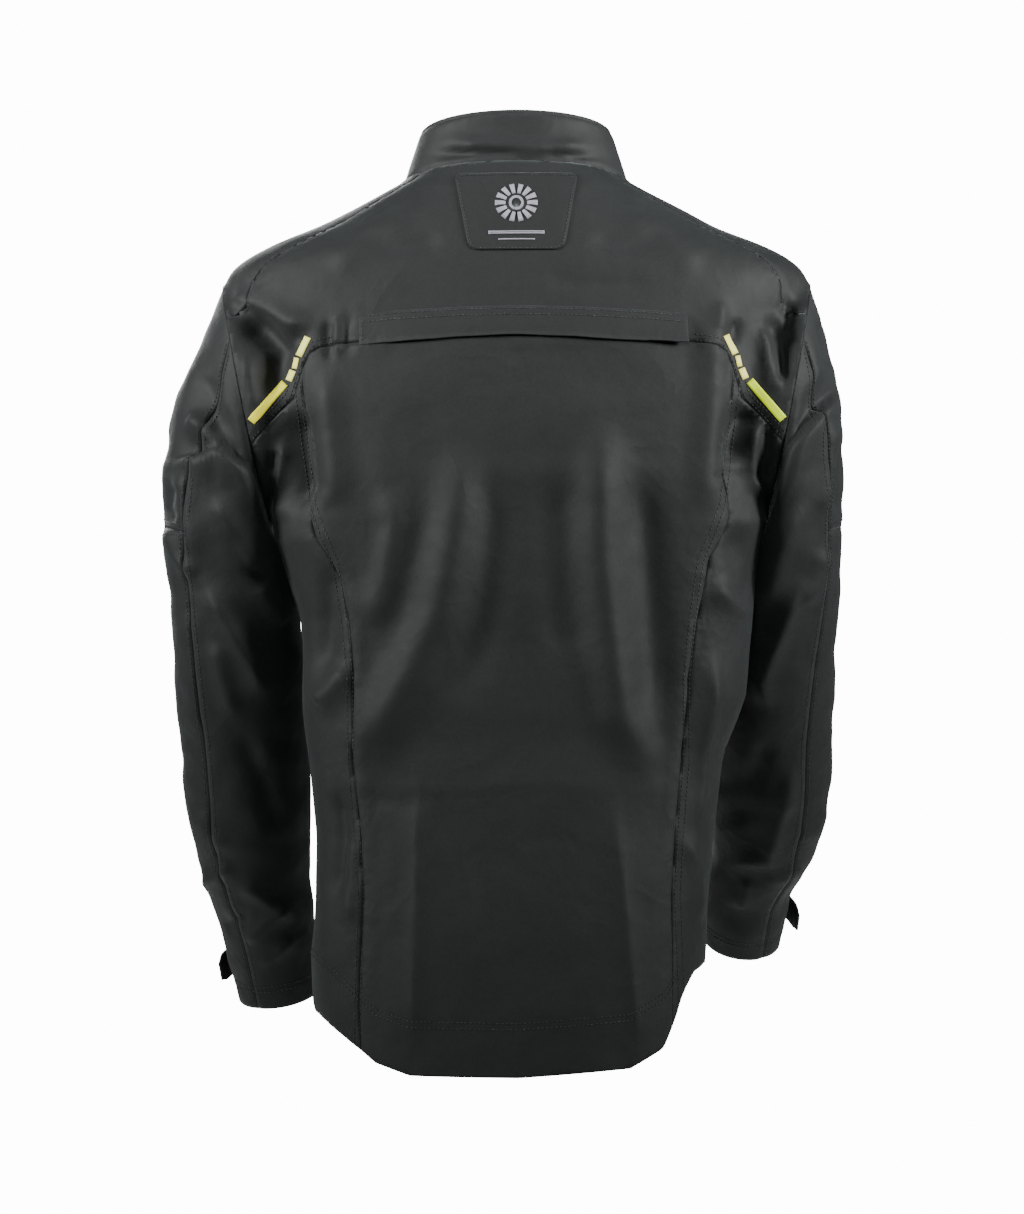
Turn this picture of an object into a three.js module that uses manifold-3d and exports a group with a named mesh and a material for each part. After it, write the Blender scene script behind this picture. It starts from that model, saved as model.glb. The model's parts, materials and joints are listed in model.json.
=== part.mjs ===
// Hip-length shell jacket with a stand-up collar, worn by crews as a light turnout coat.
// Units are millimetres, +Z is up, the wearer faces -Y and the wearer's left is +X.
// The origin is the centre of the neck opening at the height of the back collar seam.
import * as THREE from 'three';
import { mergeVertices } from 'three/addons/utils/BufferGeometryUtils.js';
import Module from 'manifold-3d';

const wasm = await Module();
wasm.setup();

// ---------------------------------------------------------------- driving dimensions
const GAP = 0.4;
const FACET_TOLERANCE = 0.14;
const SHELL = 2.4;
const SLEEVE_LINING = [4.6, 5.8];
const LINING_FROM = 3.4;
const LINING_TO = 4.6;
const BAG_FROM = 5.6;
const BAG_TO = 7.0;
const BODY_TURNS = 28;
const SLEEVE_TURNS = 16;
const SLEEVE_LINING_TURNS = 16;

// Centre front is a straight line in side view, so that the zip slides straight.
const FRONT_LEAN = 0.068;
const FRONT_NECK_Y = -84;
const FRONT_NECK_Z = -57;

// Centre back profile: height, distance behind the neck centre.
const BACK_PROFILE = [
  [60, 56], [20, 61], [0, 66], [-20, 76], [-40, 85], [-60, 92], [-80, 98], [-106, 104],
  [-140, 110], [-200, 116], [-260, 117], [-320, 113], [-400, 106], [-480, 102],
  [-560, 105], [-640, 112], [-700, 116], [-780, 118],
];

// Body rows: height at the side, half width, tilt behind, tilt in front,
// how far back the widest point lies, squareness behind, squareness in front.
const BODY_ROWS = [
  [-16, 95, 0.24, 0.49, 0, 2.0, 2.0],
  [-42, 148, 0.17, 0.33, 0, 2.0, 2.0],
  [-55, 170, 0.14, 0.27, 0, 2.0, 2.0],
  [-78, 217, 0.08, 0.17, 0, 2.0, 2.0],
  [-92, 234, 0.05, 0.12, 1, 2.1, 2.0],
  [-108, 241, 0.03, 0.08, 2, 2.2, 2.0],
  [-130, 237, 0.00, 0.04, 4, 2.3, 2.0],
  [-170, 229, 0.00, 0.00, 8, 2.4, 2.0],
  [-260, 206, 0.00, 0.00, 16, 2.4, 2.0],
  [-300, 190, 0.00, 0.00, 19, 2.4, 1.95],
  [-345, 182, 0.00, 0.00, 20, 2.4, 1.9],
  [-400, 178, 0.00, 0.00, 20, 2.4, 1.9],
  [-450, 178, 0.00, 0.00, 20, 2.4, 1.9],
  [-510, 171, 0.00, 0.00, 18, 2.4, 1.9],
  [-620, 164, 0.00, 0.00, 12, 2.4, 2.1],
  [-680, 165, 0.00, 0.00, 10, 2.4, 2.1],
  [-775, 164, 0.00, 0.00, 10, 2.4, 2.1],
];

// Hem: dropped front and back tails with raised sides.
const HEM_LINE = [[0, -753], [90, -750], [118, -738], [131, -725], [143, -708], [155, -695], [175, -684], [260, -680]];
const HEM_FACING = 44;

// Yoke edge and princess seam, as half lines from the centre outwards or from the top down.
const YOKE_LINE = [
  [0, -147], [48, -148], [111, -151], [141, -153.5], [161, -156], [171, -161], [178, -176],
  [185, -198], [198, -211], [212, -226], [221, -238], [250, -268],
];
const PRINCESS_LINE = [
  [178, -176], [173, -221], [168, -258], [164, -285], [156, -308], [146, -331], [139, -380],
  [134, -430], [134, -497], [129, -557], [126, -608], [129, -690], [131, -800],
];
const SHOULDER_SEAM = [[60, 38], [87, 41], [150, 50], [245, 53], [300, 53]];
const SIDE_SEAM_Y = -36;

// Collar.
const COLLAR_TOP_HALF = 81;
const COLLAR_TOP_BACK = 60;
const COLLAR_TOP_Z = 28;
const COLLAR_TOP_TILT = 0.22;
const COLLAR_STEPS = 3;

// Armhole plane and sleeves: centre, tilt from the vertical towards the outside,
// forward lean, half width across the arm, half depth.
const ARMHOLE_CENTRE = [227.2, 0, -201];
const ARMHOLE_TILT = 78.4;
const STUB_ROWS = [
  [[120, 6, -190], 78.4, 0, 78, 56],
  [[175, 4, -196], 78.4, 0, 88, 68],
  [[205, 2, -199], 78.4, 0, 95, 74],
  [[227.2, 0, -201], 78.4, 0, 98, 76],
];
const SLEEVE_ROWS = {
  left: [
    [[227.2, 0, -201], 78.4, 0, 98, 76],
    [[233, 0, -233], 70.7, 0, 88, 73],
    [[239.5, -2, -272], 55.6, 2, 82.4, 69],
    [[243, -6, -309.5], 46.8, 5, 80.3, 66],
    [[242.5, -12, -346], 38.2, 8, 74.4, 63],
    [[237.5, -24, -404], 22.7, 13, 62.3, 60],
    [[236, -42, -468], 7.8, 17, 55.5, 56],
    [[235.5, -66, -542], 0, 19, 51.5, 52],
    [[230, -88, -601], -3, 19, 44, 46],
    [[219, -105, -650], -8, 18, 41, 41],
    [[214.5, -115, -681], -8, 18, 39, 39],
    [[210, -124, -712], -8, 18, 37, 37],
  ],
  right: [
    [[227.2, 0, -201], 78.4, 0, 98, 76],
    [[230.5, 0, -233], 72.3, 0, 87, 73],
    [[230.5, -4, -270], 61.8, 3, 79.4, 69],
    [[229.5, -12, -308.5], 51.6, 8, 73.3, 65],
    [[227, -24, -344], 40.5, 14, 67, 61],
    [[221, -50, -400], 14.3, 24, 57.5, 58],
    [[219.5, -80, -459], 3, 27, 54, 55],
    [[223, -114, -523], -3.4, 28, 50.5, 52],
    [[219.5, -144, -579.5], -7, 29, 44.8, 46],
    [[205.5, -170, -622], -9, 30, 41, 41],
    [[203, -184, -646], -8, 30, 39, 39],
    [[201, -200, -672], -6, 30, 37, 37],
  ],
};
const ELBOW_ROW = 4;
const SLEEVE_SEAM_BACK = 60;
const SLEEVE_SEAM_FRONT = -75;
const CUFF_FACING_ROW = 9.6;

// Closures.
const ZIP_GAP = 3.6;
const ZIP_TOP = 4;
const ZIP_BOTTOM = -744;
const CHAIN_WIDTH = 3.1;
const TAPE_WIDTH = 14;
const MAIN_SLIDER_Z = -6;
const POCKETS = [
  { name: 'pocket_left', side: 1, top: [92, -498], bottom: [122, -650] },
  { name: 'pocket_right', side: -1, top: [92, -498], bottom: [122, -650] },
  { name: 'chest', side: 1, top: [78, -214], bottom: [84, -334] },
];
const POCKET_ZIP_WIDTH = 9;

// Reflective transfer segments on the left yoke: centre, length, width, turn.
const STRIPES = [
  { centre: [175.4, -155.2], length: 17, width: 5.5, turn: 27 },
  { centre: [182, -168.6], length: 9, width: 4.2, turn: 12 },
  { centre: [186.2, -178.6], length: 9, width: 5.6, turn: 24 },
  { centre: [205.3, -200.3], length: 42, width: 7, turn: 41 },
];
const STRIPE_LIFT = 0.35;
const STRIPE_THICK = 0.4;

// Badge, vent flap and small parts.
const BADGE = { top: -12, bottom: -78, halfTop: 51, halfBottom: 39, corner: 8, lift: 0.4, thick: 1.4 };
const FLAP = { from: -139, to: 129, above: 23, below: 2.5, lift: 0.5, thick: 1.6 };
const LOOP = { half: 26, drop: 20, radius: 1.7, y: 55, z: -5 };
const CUFF_TAB = { from: -80, to: 4, width: 25, thick: 2.2, lift: 0.5, flare: 6 };

// ---------------------------------------------------------------- materials
const material = (hex, roughness, metalness = 0) => new THREE.MeshStandardMaterial({
  color: hex, roughness, metalness,
});
const PAINT = {
  shell: () => material(0x2e3332, 0.62),
  lining: () => material(0x9a9c9c, 0.8),
  facing: () => material(0x4a4e4e, 0.75),
  badge: () => material(0x313636, 0.6),
  stripe: () => material(0xeef58a, 0.45),
  tape: () => material(0x161818, 0.85),
  chain: () => material(0x1b1d1d, 0.4),
  metal: () => material(0x3a3c3d, 0.35, 0.8),
  rubber: () => material(0x141616, 0.6),
  cord: () => material(0x1c1f1f, 0.8),
};

// ---------------------------------------------------------------- small tools
const rad = (degrees) => degrees * Math.PI / 180;
const along = (from, to, part) => from + (to - from) * part;

function readLine(line, value) {
  const ascending = line[1][0] > line[0][0];
  const points = ascending ? line : [...line].reverse();
  if (value <= points[0][0]) return points[0][1];
  for (let i = 1; i < points.length; i += 1) {
    if (value <= points[i][0]) {
      const part = (value - points[i - 1][0]) / (points[i][0] - points[i - 1][0]);
      return along(points[i - 1][1], points[i][1], part);
    }
  }
  return points[points.length - 1][1];
}

function frontY(z) {
  return FRONT_NECK_Y + FRONT_LEAN * (z - FRONT_NECK_Z);
}

function geometryFrom(points, faces) {
  const geometry = new THREE.BufferGeometry();
  const flat = new Float32Array(points.flatMap((p) => [p.x, p.y, p.z]));
  geometry.setAttribute('position', new THREE.BufferAttribute(flat, 3));
  geometry.setIndex(faces);
  return geometry;
}

function toManifold(geometry) {
  const bare = geometry.clone();
  bare.deleteAttribute('normal');
  bare.deleteAttribute('uv');
  const welded = mergeVertices(bare, 1e-4);
  const mesh = new wasm.Mesh({
    numProp: 3,
    vertProperties: new Float32Array(welded.attributes.position.array),
    triVerts: new Uint32Array(welded.index.array),
  });
  const solid = new wasm.Manifold(mesh);
  if (solid.volume() < 0) throw new Error('a solid is inside out');
  return solid;
}

function toGeometry(solid) {
  const mesh = solid.simplify(FACET_TOLERANCE).getMesh();
  const geometry = new THREE.BufferGeometry();
  geometry.setAttribute('position', new THREE.BufferAttribute(Float32Array.from(mesh.vertProperties), 3));
  geometry.setIndex(Array.from(mesh.triVerts));
  return geometry;
}

// A closed solid through rings of equal length; both ends are capped.
function loft(rings) {
  const count = rings[0].length;
  const points = rings.flat();
  const faces = [];
  for (let r = 0; r + 1 < rings.length; r += 1) {
    for (let i = 0; i < count; i += 1) {
      const j = (i + 1) % count;
      const a = r * count + i;
      const b = r * count + j;
      faces.push(a, b, b + count, a, b + count, a + count);
    }
  }
  const middle = (ring) => ring.reduce((sum, p) => sum.add(p), new THREE.Vector3()).divideScalar(count);
  points.push(middle(rings[0]), middle(rings[rings.length - 1]));
  const first = points.length - 2;
  const last = (rings.length - 1) * count;
  for (let i = 0; i < count; i += 1) {
    const j = (i + 1) % count;
    faces.push(first, j, i);
    faces.push(first + 1, last + i, last + j);
  }
  return outward(geometryFrom(points, faces));
}

function signedVolume(geometry) {
  const position = geometry.attributes.position;
  const index = geometry.index.array;
  const a = new THREE.Vector3();
  const b = new THREE.Vector3();
  const c = new THREE.Vector3();
  let total = 0;
  for (let i = 0; i < index.length; i += 3) {
    a.fromBufferAttribute(position, index[i]);
    b.fromBufferAttribute(position, index[i + 1]);
    c.fromBufferAttribute(position, index[i + 2]);
    total += a.dot(b.cross(c)) / 6;
  }
  return total;
}

function outward(geometry) {
  if (signedVolume(geometry) > 0) return geometry;
  const index = Array.from(geometry.index.array);
  for (let i = 0; i < index.length; i += 3) {
    const keep = index[i];
    index[i] = index[i + 1];
    index[i + 1] = keep;
  }
  geometry.setIndex(index);
  return geometry;
}

// An open-ended pipe: the outer rings, then the inner rings back to the start.
function pipe(outer, inner) {
  const count = outer[0].length;
  const rings = [...outer, ...[...inner].reverse()];
  const faces = [];
  rings.forEach((ring, r) => {
    const next = (r + 1) % rings.length;
    for (let i = 0; i < count; i += 1) {
      const j = (i + 1) % count;
      const quad = [r * count + i, r * count + j, next * count + j, next * count + i];
      faces.push(quad[0], quad[1], quad[2], quad[0], quad[2], quad[3]);
    }
  });
  return outward(geometryFrom(rings.flat(), faces));
}

// A sheet with thickness from a grid of outer points and the same grid of inner points.
function slab(outer, inner) {
  const rows = outer.length;
  const columns = outer[0].length;
  const points = [...outer.flat(), ...inner.flat()];
  const shift = rows * columns;
  const at = (r, c) => r * columns + c;
  const faces = [];
  for (let r = 0; r + 1 < rows; r += 1) {
    for (let c = 0; c + 1 < columns; c += 1) {
      const quad = [at(r, c), at(r, c + 1), at(r + 1, c + 1), at(r + 1, c)];
      faces.push(quad[0], quad[1], quad[2], quad[0], quad[2], quad[3]);
      faces.push(shift + quad[0], shift + quad[2], shift + quad[1]);
      faces.push(shift + quad[0], shift + quad[3], shift + quad[2]);
    }
  }
  const rim = [];
  for (let c = 0; c + 1 < columns; c += 1) rim.push([at(0, c), at(0, c + 1)]);
  for (let r = 0; r + 1 < rows; r += 1) rim.push([at(r, columns - 1), at(r + 1, columns - 1)]);
  for (let c = columns - 1; c > 0; c -= 1) rim.push([at(rows - 1, c), at(rows - 1, c - 1)]);
  for (let r = rows - 1; r > 0; r -= 1) rim.push([at(r, 0), at(r - 1, 0)]);
  rim.forEach(([a, b]) => faces.push(b, a, shift + a, b, shift + a, shift + b));
  return outward(geometryFrom(points, faces));
}

// A prism standing on a polygon in the XZ plane, running from one Y to another.
function prismAlongY(polygon, fromY, toY) {
  const shape = new THREE.Shape(polygon.map(([x, z]) => new THREE.Vector2(x, z)));
  const geometry = new THREE.ExtrudeGeometry(shape, { depth: toY - fromY, bevelEnabled: false });
  geometry.rotateX(Math.PI / 2);
  geometry.translate(0, toY, 0);
  return toManifold(outwardFromSoup(geometry));
}

function prismAlongZ(polygon, fromZ, toZ) {
  const shape = new THREE.Shape(polygon.map(([x, y]) => new THREE.Vector2(x, y)));
  const geometry = new THREE.ExtrudeGeometry(shape, { depth: toZ - fromZ, bevelEnabled: false });
  geometry.translate(0, 0, fromZ);
  return toManifold(outwardFromSoup(geometry));
}

function outwardFromSoup(geometry) {
  const bare = geometry.clone();
  bare.deleteAttribute('normal');
  bare.deleteAttribute('uv');
  return outward(mergeVertices(bare, 1e-4));
}

function box(low, high) {
  const geometry = new THREE.BoxGeometry(high[0] - low[0], high[1] - low[1], high[2] - low[2]);
  geometry.translate((high[0] + low[0]) / 2, (high[1] + low[1]) / 2, (high[2] + low[2]) / 2);
  return outwardFromSoup(geometry);
}

// A thin wall along a polyline, used to part two panels at a seam.
function ribbon(line, width) {
  const left = [];
  const right = [];
  line.forEach(([x, z], i) => {
    const before = line[Math.max(i - 1, 0)];
    const after = line[Math.min(i + 1, line.length - 1)];
    const length = Math.hypot(after[0] - before[0], after[1] - before[1]);
    const nx = -(after[1] - before[1]) / length;
    const nz = (after[0] - before[0]) / length;
    left.push([x + nx * width / 2, z + nz * width / 2]);
    right.push([x - nx * width / 2, z - nz * width / 2]);
  });
  return [...left, ...right.reverse()];
}

const mirrored = (line) => line.map(([x, z]) => [-x, z]);
const bothSides = (line) => [...mirrored(line).reverse(), ...line.slice(1)];

// ---------------------------------------------------------------- body surfaces
function backDepth(height, tilt) {
  let y = 100;
  for (let i = 0; i < 12; i += 1) y = readLine(BACK_PROFILE, height + tilt * y);
  return y;
}

function bodyRow([height, half, backTilt, frontTilt, mid, backPower, frontPower]) {
  const front = (FRONT_NECK_Y + FRONT_LEAN * (height - FRONT_NECK_Z)) / (1 - FRONT_LEAN * frontTilt);
  return { height, half, backTilt, frontTilt, mid, backPower, frontPower, front, back: backDepth(height, backTilt) };
}

function bodyPoint(row, turn, inset) {
  const c = Math.cos(turn);
  const s = Math.sin(turn);
  const power = s > 0 ? row.backPower : row.frontPower;
  const depth = (s > 0 ? row.back - row.mid : row.mid - row.front) - inset;
  const x = (row.half - inset) * Math.sign(c) * Math.abs(c) ** (2 / power);
  const y = row.mid + Math.sign(s) * depth * Math.abs(s) ** (2 / power);
  const z = row.height + (y > 0 ? row.backTilt : row.frontTilt) * y;
  return new THREE.Vector3(x, y, z);
}

function bodyRing(row, inset) {
  return Array.from({ length: BODY_TURNS }, (_, i) => bodyPoint(row, (i + 0.5) * 2 * Math.PI / BODY_TURNS, inset));
}

function bodySolid(inset, overrun) {
  const rings = BODY_ROWS.map((row) => bodyRing(bodyRow(row), inset));
  if (overrun) {
    rings.unshift(rings[0].map((p) => new THREE.Vector3(p.x * 0.96, p.y * 0.96, p.z + 60)));
    rings.push(rings[rings.length - 1].map((p) => new THREE.Vector3(p.x, p.y, p.z - 40)));
  }
  return toManifold(loft(rings));
}

// Where the outside of the front lies at a given width and height.
function frontSurface(x, z) {
  const heights = BODY_ROWS.map((row) => row[0]);
  let i = heights.findIndex((height) => height <= z);
  if (i < 1) i = 1;
  const part = (z - heights[i - 1]) / (heights[i] - heights[i - 1]);
  const row = bodyRow(BODY_ROWS[i - 1].map((value, k) => along(value, BODY_ROWS[i][k], part)));
  const share = Math.min(Math.abs(x) / row.half, 1) ** row.frontPower;
  return row.mid - (row.mid - row.front) * (1 - share) ** (1 / row.frontPower);
}

function sleeveFrame([centre, tilt, lean, across, depth], side) {
  const outer = new THREE.Vector3(Math.cos(rad(tilt)), 0, Math.sin(rad(tilt)));
  const travel = new THREE.Vector3(
    Math.sin(rad(tilt)) * Math.cos(rad(lean)),
    -Math.sin(rad(lean)),
    -Math.cos(rad(tilt)) * Math.cos(rad(lean)),
  );
  const back = new THREE.Vector3().crossVectors(outer, travel);
  const mirror = (v) => new THREE.Vector3(v.x * side, v.y, v.z);
  return {
    centre: mirror(new THREE.Vector3(...centre)),
    outer: mirror(outer),
    back: mirror(back),
    travel: mirror(travel),
    across,
    depth,
  };
}

function sleevePoint(frame, turn, inset) {
  return frame.centre.clone()
    .addScaledVector(frame.outer, (frame.across - inset) * Math.cos(turn))
    .addScaledVector(frame.back, (frame.depth - inset) * Math.sin(turn));
}

function tubeSolid(rows, side, inset, turns) {
  const rings = rows.map((row) => {
    const frame = sleeveFrame(row, side);
    return Array.from({ length: turns }, (_, i) => sleevePoint(frame, i * 2 * Math.PI / turns, inset));
  });
  return toManifold(loft(rings));
}

function armholeNormal(side) {
  return new THREE.Vector3(side * Math.sin(rad(ARMHOLE_TILT)), 0, -Math.cos(rad(ARMHOLE_TILT)));
}

// Everything on the body's side of both armhole planes, down to below the underarm.
function trimAtArmholes(solid, back) {
  let result = solid;
  [1, -1].forEach((side) => {
    const [x, , z] = ARMHOLE_CENTRE;
    const slope = Math.cos(rad(ARMHOLE_TILT)) / Math.sin(rad(ARMHOLE_TILT));
    const edge = (height) => x + slope * (height - z) - back / Math.sin(rad(ARMHOLE_TILT));
    const beyond = [[edge(40), 40], [edge(-330), -330], [400, -330], [400, 40]];
    const cutter = prismAlongY(side > 0 ? beyond : mirrored(beyond), -200, 200);
    result = result.subtract(cutter);
  });
  return result;
}

function bodyUnion(inset, overrun) {
  let solid = bodySolid(inset, overrun);
  [1, -1].forEach((side) => {
    const rows = [...STUB_ROWS];
    if (overrun) {
      const last = STUB_ROWS[STUB_ROWS.length - 1];
      rows.push([[last[0][0] + 12, last[0][1], last[0][2] - 2.4], ...last.slice(1)]);
    }
    solid = solid.add(tubeSolid(rows, side, inset, SLEEVE_TURNS));
  });
  return solid;
}

// The wall of the body between two depths below its surface, up to the armholes.
function layer(from, to) {
  return trimAtArmholes(bodyUnion(from, false), GAP / 2).subtract(bodyUnion(to, true));
}

const hemCutter = (rise) => {
  const edge = bothSides(HEM_LINE).map(([x, z]) => [x, z + rise]);
  return prismAlongY([...edge, [260, -900], [-260, -900]], -260, 260);
};

// The pieces a solid falls into, largest first, slivers left out.
function pieces(solid, least) {
  return solid.decompose()
    .filter((piece) => piece.volume() > least)
    .sort((a, b) => b.volume() - a.volume());
}

function centreOf(piece) {
  const { min, max } = piece.boundingBox();
  return [0, 1, 2].map((i) => (min[i] + max[i]) / 2);
}

// ---------------------------------------------------------------- assembly
const jacket = new THREE.Group();
jacket.name = 'turnout_coat';

function put(name, geometry, paint) {
  const bare = geometry.clone();
  bare.deleteAttribute('normal');
  bare.deleteAttribute('uv');
  const flat = mergeVertices(bare, 1e-4).toNonIndexed();
  flat.computeVertexNormals();
  const mesh = new THREE.Mesh(flat, paint());
  mesh.name = name;
  jacket.add(mesh);
}

function pocketFrame(pocket) {
  const point = ([x, z]) => new THREE.Vector3(pocket.side * x, frontSurface(x, z), z);
  const top = point(pocket.top);
  const bottom = point(pocket.bottom);
  const down = bottom.clone().sub(top).normalize();
  const [mx, mz] = [0, 1].map((i) => (pocket.top[i] + pocket.bottom[i]) / 2);
  const slope = (frontSurface(mx + 3, mz) - frontSurface(mx - 3, mz)) / 6;
  const rough = new THREE.Vector3(pocket.side * slope, -1, 0);
  const normal = rough.addScaledVector(down, -rough.dot(down)).normalize();
  const across = new THREE.Vector3().crossVectors(down, normal);
  let lift = 0;
  for (let i = 0; i <= 20; i += 1) {
    const x = along(pocket.top[0], pocket.bottom[0], i / 20);
    const z = along(pocket.top[1], pocket.bottom[1], i / 20);
    [-5, 0, 5].forEach((offset) => {
      const surface = new THREE.Vector3(pocket.side * (x + offset), frontSurface(x + offset, z), z);
      lift = Math.max(lift, surface.sub(top).dot(normal));
    });
  }
  return { top, bottom, down, normal, across, length: top.distanceTo(bottom), lift };
}

function slotPolygon(pocket, margin) {
  const [x0, z0] = pocket.top;
  const [x1, z1] = pocket.bottom;
  const length = Math.hypot(x1 - x0, z1 - z0);
  const ux = (x1 - x0) / length;
  const uz = (z1 - z0) / length;
  const w = POCKET_ZIP_WIDTH / 2 + margin;
  const e = 6 + margin;
  const corner = (a, b) => [pocket.side * (a[0] + b * ux), a[1] + b * uz];
  const start = corner([x0, z0], -e);
  const end = corner([x1, z1], e);
  const nx = -uz * w;
  const nz = ux * w * pocket.side;
  return [
    [start[0] + nx, start[1] + nz],
    [end[0] + nx, end[1] + nz],
    [end[0] - nx, end[1] - nz],
    [start[0] - nx, start[1] - nz],
  ];
}

function addShellPanels() {
  let shell = layer(0, SHELL).subtract(hemCutter(0));
  const walls = [
    prismAlongY(ribbon(bothSides(YOKE_LINE), GAP), 30, 200),
    prismAlongY(ribbon(PRINCESS_LINE, GAP), 24, 200),
    prismAlongY(ribbon(mirrored(PRINCESS_LINE), GAP), 24, 200),
    prismAlongZ(ribbon(SHOULDER_SEAM, GAP), -190, 80),
    prismAlongZ(ribbon(mirrored(SHOULDER_SEAM), GAP), -190, 80),
    toManifold(box([-300, SIDE_SEAM_Y - GAP / 2, -900], [300, SIDE_SEAM_Y + GAP / 2, 80])),
    toManifold(box([-ZIP_GAP, -200, -900], [ZIP_GAP, -20, 80])),
  ];
  walls.forEach((wall) => { shell = shell.subtract(wall); });
  POCKETS.forEach((pocket) => {
    const strip = shell.intersect(prismAlongY(slotPolygon(pocket, 0), -200, -20));
    put(`${pocket.name}_zip`, toGeometry(pieces(strip, 5)[0]), PAINT.chain);
    shell = shell.subtract(prismAlongY(slotPolygon(pocket, GAP), -200, -20));
  });
  pieces(shell, 200).forEach((piece) => {
    const [x, y, z] = centreOf(piece);
    const side = x > 0 ? 'left' : 'right';
    let name = `side_panel_${side}`;
    if (Math.abs(x) < 12) name = z < -300 ? 'back_panel' : 'back_yoke';
    else if (y < -50) name = `front_panel_${side}`;
    else if (z > -140) name = `shoulder_panel_${side}`;
    put(name, toGeometry(piece), PAINT.shell);
  });
}

function addInnerLayer() {
  let inner = layer(LINING_FROM, LINING_TO).subtract(hemCutter(3));
  inner = inner.subtract(toManifold(box([-300, SIDE_SEAM_Y - GAP / 2, -900], [300, SIDE_SEAM_Y + GAP / 2, 80])));
  inner = inner.subtract(toManifold(box([-20, -200, -900], [20, -20, 80])));
  const seam = bothSides(HEM_LINE).map(([x, z]) => [x, z + HEM_FACING]);
  inner = inner.subtract(prismAlongY(ribbon(seam, GAP), -200, 200));
  pieces(inner, 100).forEach((piece) => {
    const [x, y, z] = centreOf(piece);
    const kind = z < -640 ? 'hem_facing' : 'lining';
    const place = y > -20 ? 'back' : `front_${x > 0 ? 'left' : 'right'}`;
    put(`${kind}_${place}`, toGeometry(piece), kind === 'lining' ? PAINT.lining : PAINT.facing);
  });
}

function addPocketBags() {
  const bags = layer(BAG_FROM, BAG_TO);
  [1, -1].forEach((side) => {
    const outline = [[34, -676], [34, -560], [60, -490], [128, -490], [128, -676]].map(([x, z]) => [side * x, z]);
    const bag = bags.intersect(prismAlongY(outline, -200, -40));
    put(`pocket_bag_${side > 0 ? 'left' : 'right'}`, toGeometry(pieces(bag, 50)[0]), PAINT.lining);
  });
}

// One strip of a sleeve between two angles and two rows, given as fractions of a row.
function sleeveStrip(rows, side, degrees, span, inset, steps) {
  const between = (place) => {
    const i = Math.min(Math.floor(place), rows.length - 2);
    const part = place - i;
    const mix = (a, b) => (Array.isArray(a) ? a.map((v, k) => mix(v, b[k])) : along(a, b, part));
    return sleeveFrame(mix(rows[i], rows[i + 1]), side);
  };
  const places = [span[0]];
  for (let i = Math.floor(span[0]) + 1; i < span[1]; i += 1) places.push(i);
  places.push(span[1]);
  const grid = (depth) => places.map((place) => {
    const frame = between(place);
    const points = [];
    for (let k = 0; k <= steps; k += 1) {
      const trim = GAP / frame.across / 2;
      const turn = along(rad(degrees[0]) + trim, rad(degrees[1]) - trim, k / steps);
      points.push(sleevePoint(frame, turn, depth));
    }
    return points;
  });
  return slab(grid(inset[0]), grid(inset[1]));
}

function addSleeve(label, side) {
  const rows = SLEEVE_ROWS[label];
  const end = rows.length - 1;
  const start = 0.012;
  const outerArc = [SLEEVE_SEAM_FRONT, SLEEVE_SEAM_BACK];
  const underArc = [SLEEVE_SEAM_BACK, 360 + SLEEVE_SEAM_FRONT];
  const shell = [0, SHELL];
  put(`sleeve_${label}_upper`, sleeveStrip(rows, side, outerArc, [start, ELBOW_ROW - 0.004], shell, 6), PAINT.shell);
  put(`sleeve_${label}_forearm`, sleeveStrip(rows, side, outerArc, [ELBOW_ROW + 0.004, end], shell, 6), PAINT.shell);
  put(`sleeve_${label}_under`, sleeveStrip(rows, side, underArc, [start, end], shell, 11), PAINT.shell);
  const closed = (span, inset) => pipe(ringsBetween(rows, side, span, inset[0]), ringsBetween(rows, side, span, inset[1]));
  put(`sleeve_${label}_lining`, closed([0.05, CUFF_FACING_ROW], SLEEVE_LINING), PAINT.lining);
  put(`cuff_${label}_facing`, closed([CUFF_FACING_ROW + 0.02, end - 0.12], SLEEVE_LINING), PAINT.facing);
  put(`cuff_tab_${label}`, cuffTab(rows, side), PAINT.rubber);
}

// Rings of a sleeve at some depth below its surface, measured square to that surface;
// the first one stays in the plane of the armhole.
function ringsBetween(rows, side, span, inset) {
  const mix = (a, b, part) => (Array.isArray(a) ? a.map((v, k) => mix(v, b[k], part)) : along(a, b, part));
  const surface = (place, turn) => {
    const i = Math.max(0, Math.min(Math.floor(place), rows.length - 2));
    return sleevePoint(sleeveFrame(mix(rows[i], rows[i + 1], place - i), side), turn, 0);
  };
  const places = [span[0]];
  for (let i = Math.floor(span[0]) + 1; i < span[1]; i += 1) places.push(i);
  places.push(span[1]);
  return places.map((place) => Array.from({ length: SLEEVE_LINING_TURNS }, (_, i) => {
    const turn = i * 2 * Math.PI / SLEEVE_LINING_TURNS;
    const point = surface(place, turn);
    const inwards = surface(place, turn + Math.PI).sub(point);
    const down = surface(place + 0.3, turn).sub(surface(place - 0.3, turn));
    const round = surface(place, turn + 0.2).sub(surface(place, turn - 0.2));
    const square = place < 1 ? inwards : down.cross(round).multiplyScalar(-side);
    return point.addScaledVector(square.normalize(), inset);
  }));
}

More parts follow.
